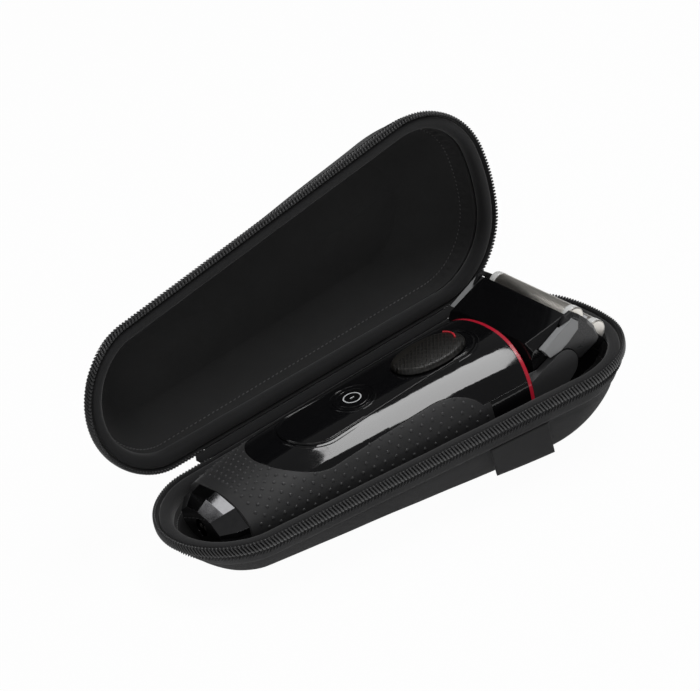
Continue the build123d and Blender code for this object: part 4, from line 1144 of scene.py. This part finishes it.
class CASE_OT_foils(bpy.types.Operator):
    """Perforated foils with their end caps, the cutters and the comb guard between them"""

    bl_idname = "shaver_case.foils"
    bl_label = "Foils"

    def execute(self, context):
        pitch = get_look().shaver.mesh_pitch
        for side, middle in FOILS:
            finish = Finish(f"Foil {side.title()} Steel", (0.62, 0.6, 0.57), 0.3, metallic=1.0)
            axis = Matrix.Rotation(-HEAD_TURN, 3, "Y") @ (HEAD @ Vector((middle, 0, FOIL_HEIGHT)))
            x, y, z = finish.axes(finish.place(turn=(0, -HEAD_TURN, 0)))
            around = (x - axis.x).angle(z - axis.z) * (FOIL_RADIUS * MM)
            u, v = around / pitch, y / (pitch * 0.866)
            row = (v.floor() * 0.5).part().over(0.25) * 0.5
            across, up = (u + row).part() - 0.5, v.part() - 0.5
            hole = (across * across + up * up * 0.75).power(0.5).under(0.33)
            holes = hole * y.size().under(0.0195)
            grain = finish.speckle(1500, 2, finish.place(scale=(1, 0.12, 1)))
            # The holes are painted dark where the relief sinks them, as painted shade in the perforations.
            finish.tint(holes, (0.8, 0.77, 0.72), (0.3, 0.28, 0.25))
            finish.feed("Roughness", grain * 0.2 + 0.26)
            finish.relief(1 - holes, 0.00002, 0.4)
            finish_nodes(finish, "foil_" + side)
        steel = metal("Cutter Steel", (0.55, 0.55, 0.56), 0.3, (1, 0.05, 1))
        finish_nodes(steel, "cutter_front", "cutter_rear", "comb_guard", "trimmer_blade")
        pearl = Finish("Foil Cap", (0.72, 0.71, 0.68), 0.22, coat_weight=0.5)
        pearl.mottle(300, 2, (0.86, 0.86, 0.84), (0.95, 0.95, 0.94))
        for side, middle in FOILS:
            for name, way in (("right", -1), ("left", 1)):
                cap = self.cap(f"{side}_foil_cap_{name}", middle, way)
                dress(cap, pearl, side + "_foil", "frame_plastic")
        return {"FINISHED"}

    def cap(self, name, middle, way):
        """A rounded saddle over one end of a foil."""

        def point(u, v):
            angle, run = pi * (-0.12 + 1.24 * u), tau * v
            radius, y = 4.16 + 0.08 * cos(run), 21.45 + 1.55 * sin(run)
            x, z = middle + radius * cos(angle), FOIL_HEIGHT + radius * sin(angle)
            return HEAD @ Vector((x, way * y, z))

        return close_up(wrapped_grid(name, 24, 10, point))


class CASE_OT_inside(bpy.types.Operator):
    """Battery, motor, circuit board and the frames inside the shaver"""

    bl_idname = "shaver_case.inside"
    bl_label = "Inside"

    def execute(self, context):
        nylon = moulded("Natural Nylon", (0.55, 0.54, 0.5), 0.5, 1200, 0.000005)
        finish_nodes(nylon, "chassis", "drive_bridge")
        finish_nodes(moulded("Battery Sleeve", (0.06, 0.2, 0.1), 0.25, 300, 0.000004), "battery")
        finish_nodes(metal("Motor Can", (0.6, 0.6, 0.6), 0.28, (0.1, 1, 1)), "motor")
        finish_nodes(metal("Contact Plating", (0.8, 0.78, 0.74), 0.2), "charge_contacts")
        board = Finish("Circuit Board", (0.01, 0.12, 0.05), 0.35)
        x, y, _ = board.axes(board.place(scale=(900, 900, 1)))
        tracks = (x.sine() * y.sine()).over(0.55)
        board.tint(tracks, (0.01, 0.12, 0.05), (0.03, 0.22, 0.1))
        finish_nodes(board, "circuit_board")
        return {"FINISHED"}


class CASE_OT_stage(bpy.types.Operator):
    """Floor, lights, surroundings and camera"""

    bl_idname = "shaver_case.stage"
    bl_label = "Stage"

    def execute(self, context):
        look = get_look().stage
        clear_selection()
        bpy.ops.mesh.primitive_plane_add(size=8)
        floor = bpy.context.object
        floor.name = "floor"
        paper = Finish("Paper", look.floor, 0.9, specular_ior_level=0.1)
        paper.mottle(40, 3, toned(look.floor, 0.99), look.floor)
        rays = paper.node("ShaderNodeLightPath", {}, [])
        camera_ray, glossy_ray, clear_ray = [
            Value(paper, rays.outputs[name])
            for name in ("Is Camera Ray", "Is Glossy Ray", "Is Transmission Ray")
        ]
        seen = camera_ray.most(glossy_ray).most(clear_ray)
        glow = paper.node("ShaderNodeEmission", {}, [])
        mix = paper.node("ShaderNodeMixShader", {}, {0: seen * 0.97})
        paper.tree.links.new(paper.shader.outputs[0], mix.inputs[1])
        paper.tree.links.new(glow.outputs[0], mix.inputs[2])
        paper.tree.links.new(mix.outputs[0], paper.tree.nodes["Material Output"].inputs["Surface"])
        paint(floor, paper)
        self.light("key_light", look.key, (0.72, 0.36), azimuth=93.3, height=70.2, distance=1.15)
        self.light("fill_light", look.fill, (0.9, 0.6), azimuth=215, height=42, distance=1.5)
        self.light("back_light", 1.8, (0.85, 0.25), azimuth=335, height=50.5, distance=1.4, turn=-34)
        self.surroundings(look.sky)
        camera = bpy.data.cameras.new("camera")
        camera.lens = look.lens
        holder = linked("camera", camera)
        holder.location = look.camera_place
        holder.rotation_euler = look.camera_turn
        bpy.context.scene.camera = holder
        bpy.context.scene.view_settings.view_transform = "Standard"
        return {"FINISHED"}

    def light(self, name, power, size, azimuth, height, distance, turn=0):
        """A soft rectangular light that faces the case. Azimuth 0 is +Y and 90 is +X."""
        data = bpy.data.lights.new(name, "AREA")
        data.energy = power
        data.shape = "RECTANGLE"
        data.size, data.size_y = size
        lamp = linked(name, data)
        a, e = radians(azimuth), radians(height)
        way = Vector((sin(a) * cos(e), cos(a) * cos(e), sin(e)))
        lamp.location = Vector((0, 0, 0.03)) + way * distance
        facing = way.to_track_quat("Z", "Y").to_matrix().to_4x4()
        lamp.rotation_euler = (facing @ Matrix.Rotation(radians(turn), 4, "Z")).to_euler()

    def surroundings(self, strength):
        world = bpy.data.worlds.new("surroundings")
        bpy.context.scene.world = world
        world.use_nodes = True
        tree = world.node_tree
        rays = tree.nodes.new("ShaderNodeLightPath")
        mix = tree.nodes.new("ShaderNodeMixShader")
        tree.links.new(rays.outputs["Is Camera Ray"], mix.inputs[0])
        unseen, seen = tree.nodes["Background"], tree.nodes.new("ShaderNodeBackground")
        unseen.inputs["Strength"].default_value = strength
        for socket, background in ((1, unseen), (2, seen)):
            background.inputs["Color"].default_value = (1, 1, 1, 1)
            tree.links.new(background.outputs[0], mix.inputs[socket])
        tree.links.new(mix.outputs[0], tree.nodes["World Output"].inputs["Surface"])


class CASE_PT_panel(bpy.types.Panel):
    """Builds the pieces of the shaver case one by one"""

    bl_label = "Shaver Case"
    bl_idname = "CASE_PT_panel"
    bl_space_type = "VIEW_3D"
    bl_region_type = "UI"
    bl_category = "Shaver Case"

    def draw(self, context):
        for group in (get_look().case, get_look().shaver, get_look().stage):
            for name in group.bl_rna.properties.keys():
                if name not in ("rna_type", "name"):
                    self.layout.prop(group, name)
        for operator in OPERATORS:
            self.layout.operator(operator.bl_idname)


OPERATORS = (
    CASE_OT_cover, CASE_OT_lining, CASE_OT_lip, CASE_OT_zip, CASE_OT_hinge, CASE_OT_label,
    CASE_OT_covers, CASE_OT_power_mark, CASE_OT_grip, CASE_OT_lock, CASE_OT_red_line,
    CASE_OT_head, CASE_OT_foils, CASE_OT_inside, CASE_OT_stage,
)
CLASSES = (CaseLook, ShaverLook, StageLook, CaseSettings, *OPERATORS, CASE_PT_panel)


def register():
    for one in CLASSES:
        bpy.utils.register_class(one)
    bpy.types.Scene.shaver_case = PointerProperty(type=CaseSettings)


def unregister():
    del bpy.types.Scene.shaver_case
    for one in reversed(CLASSES):
        bpy.utils.unregister_class(one)


def main():
    register()
    for operator in OPERATORS:
        group, name = operator.bl_idname.split(".")
        getattr(getattr(bpy.ops, group), name)()


if __name__ == "__main__":
    main()
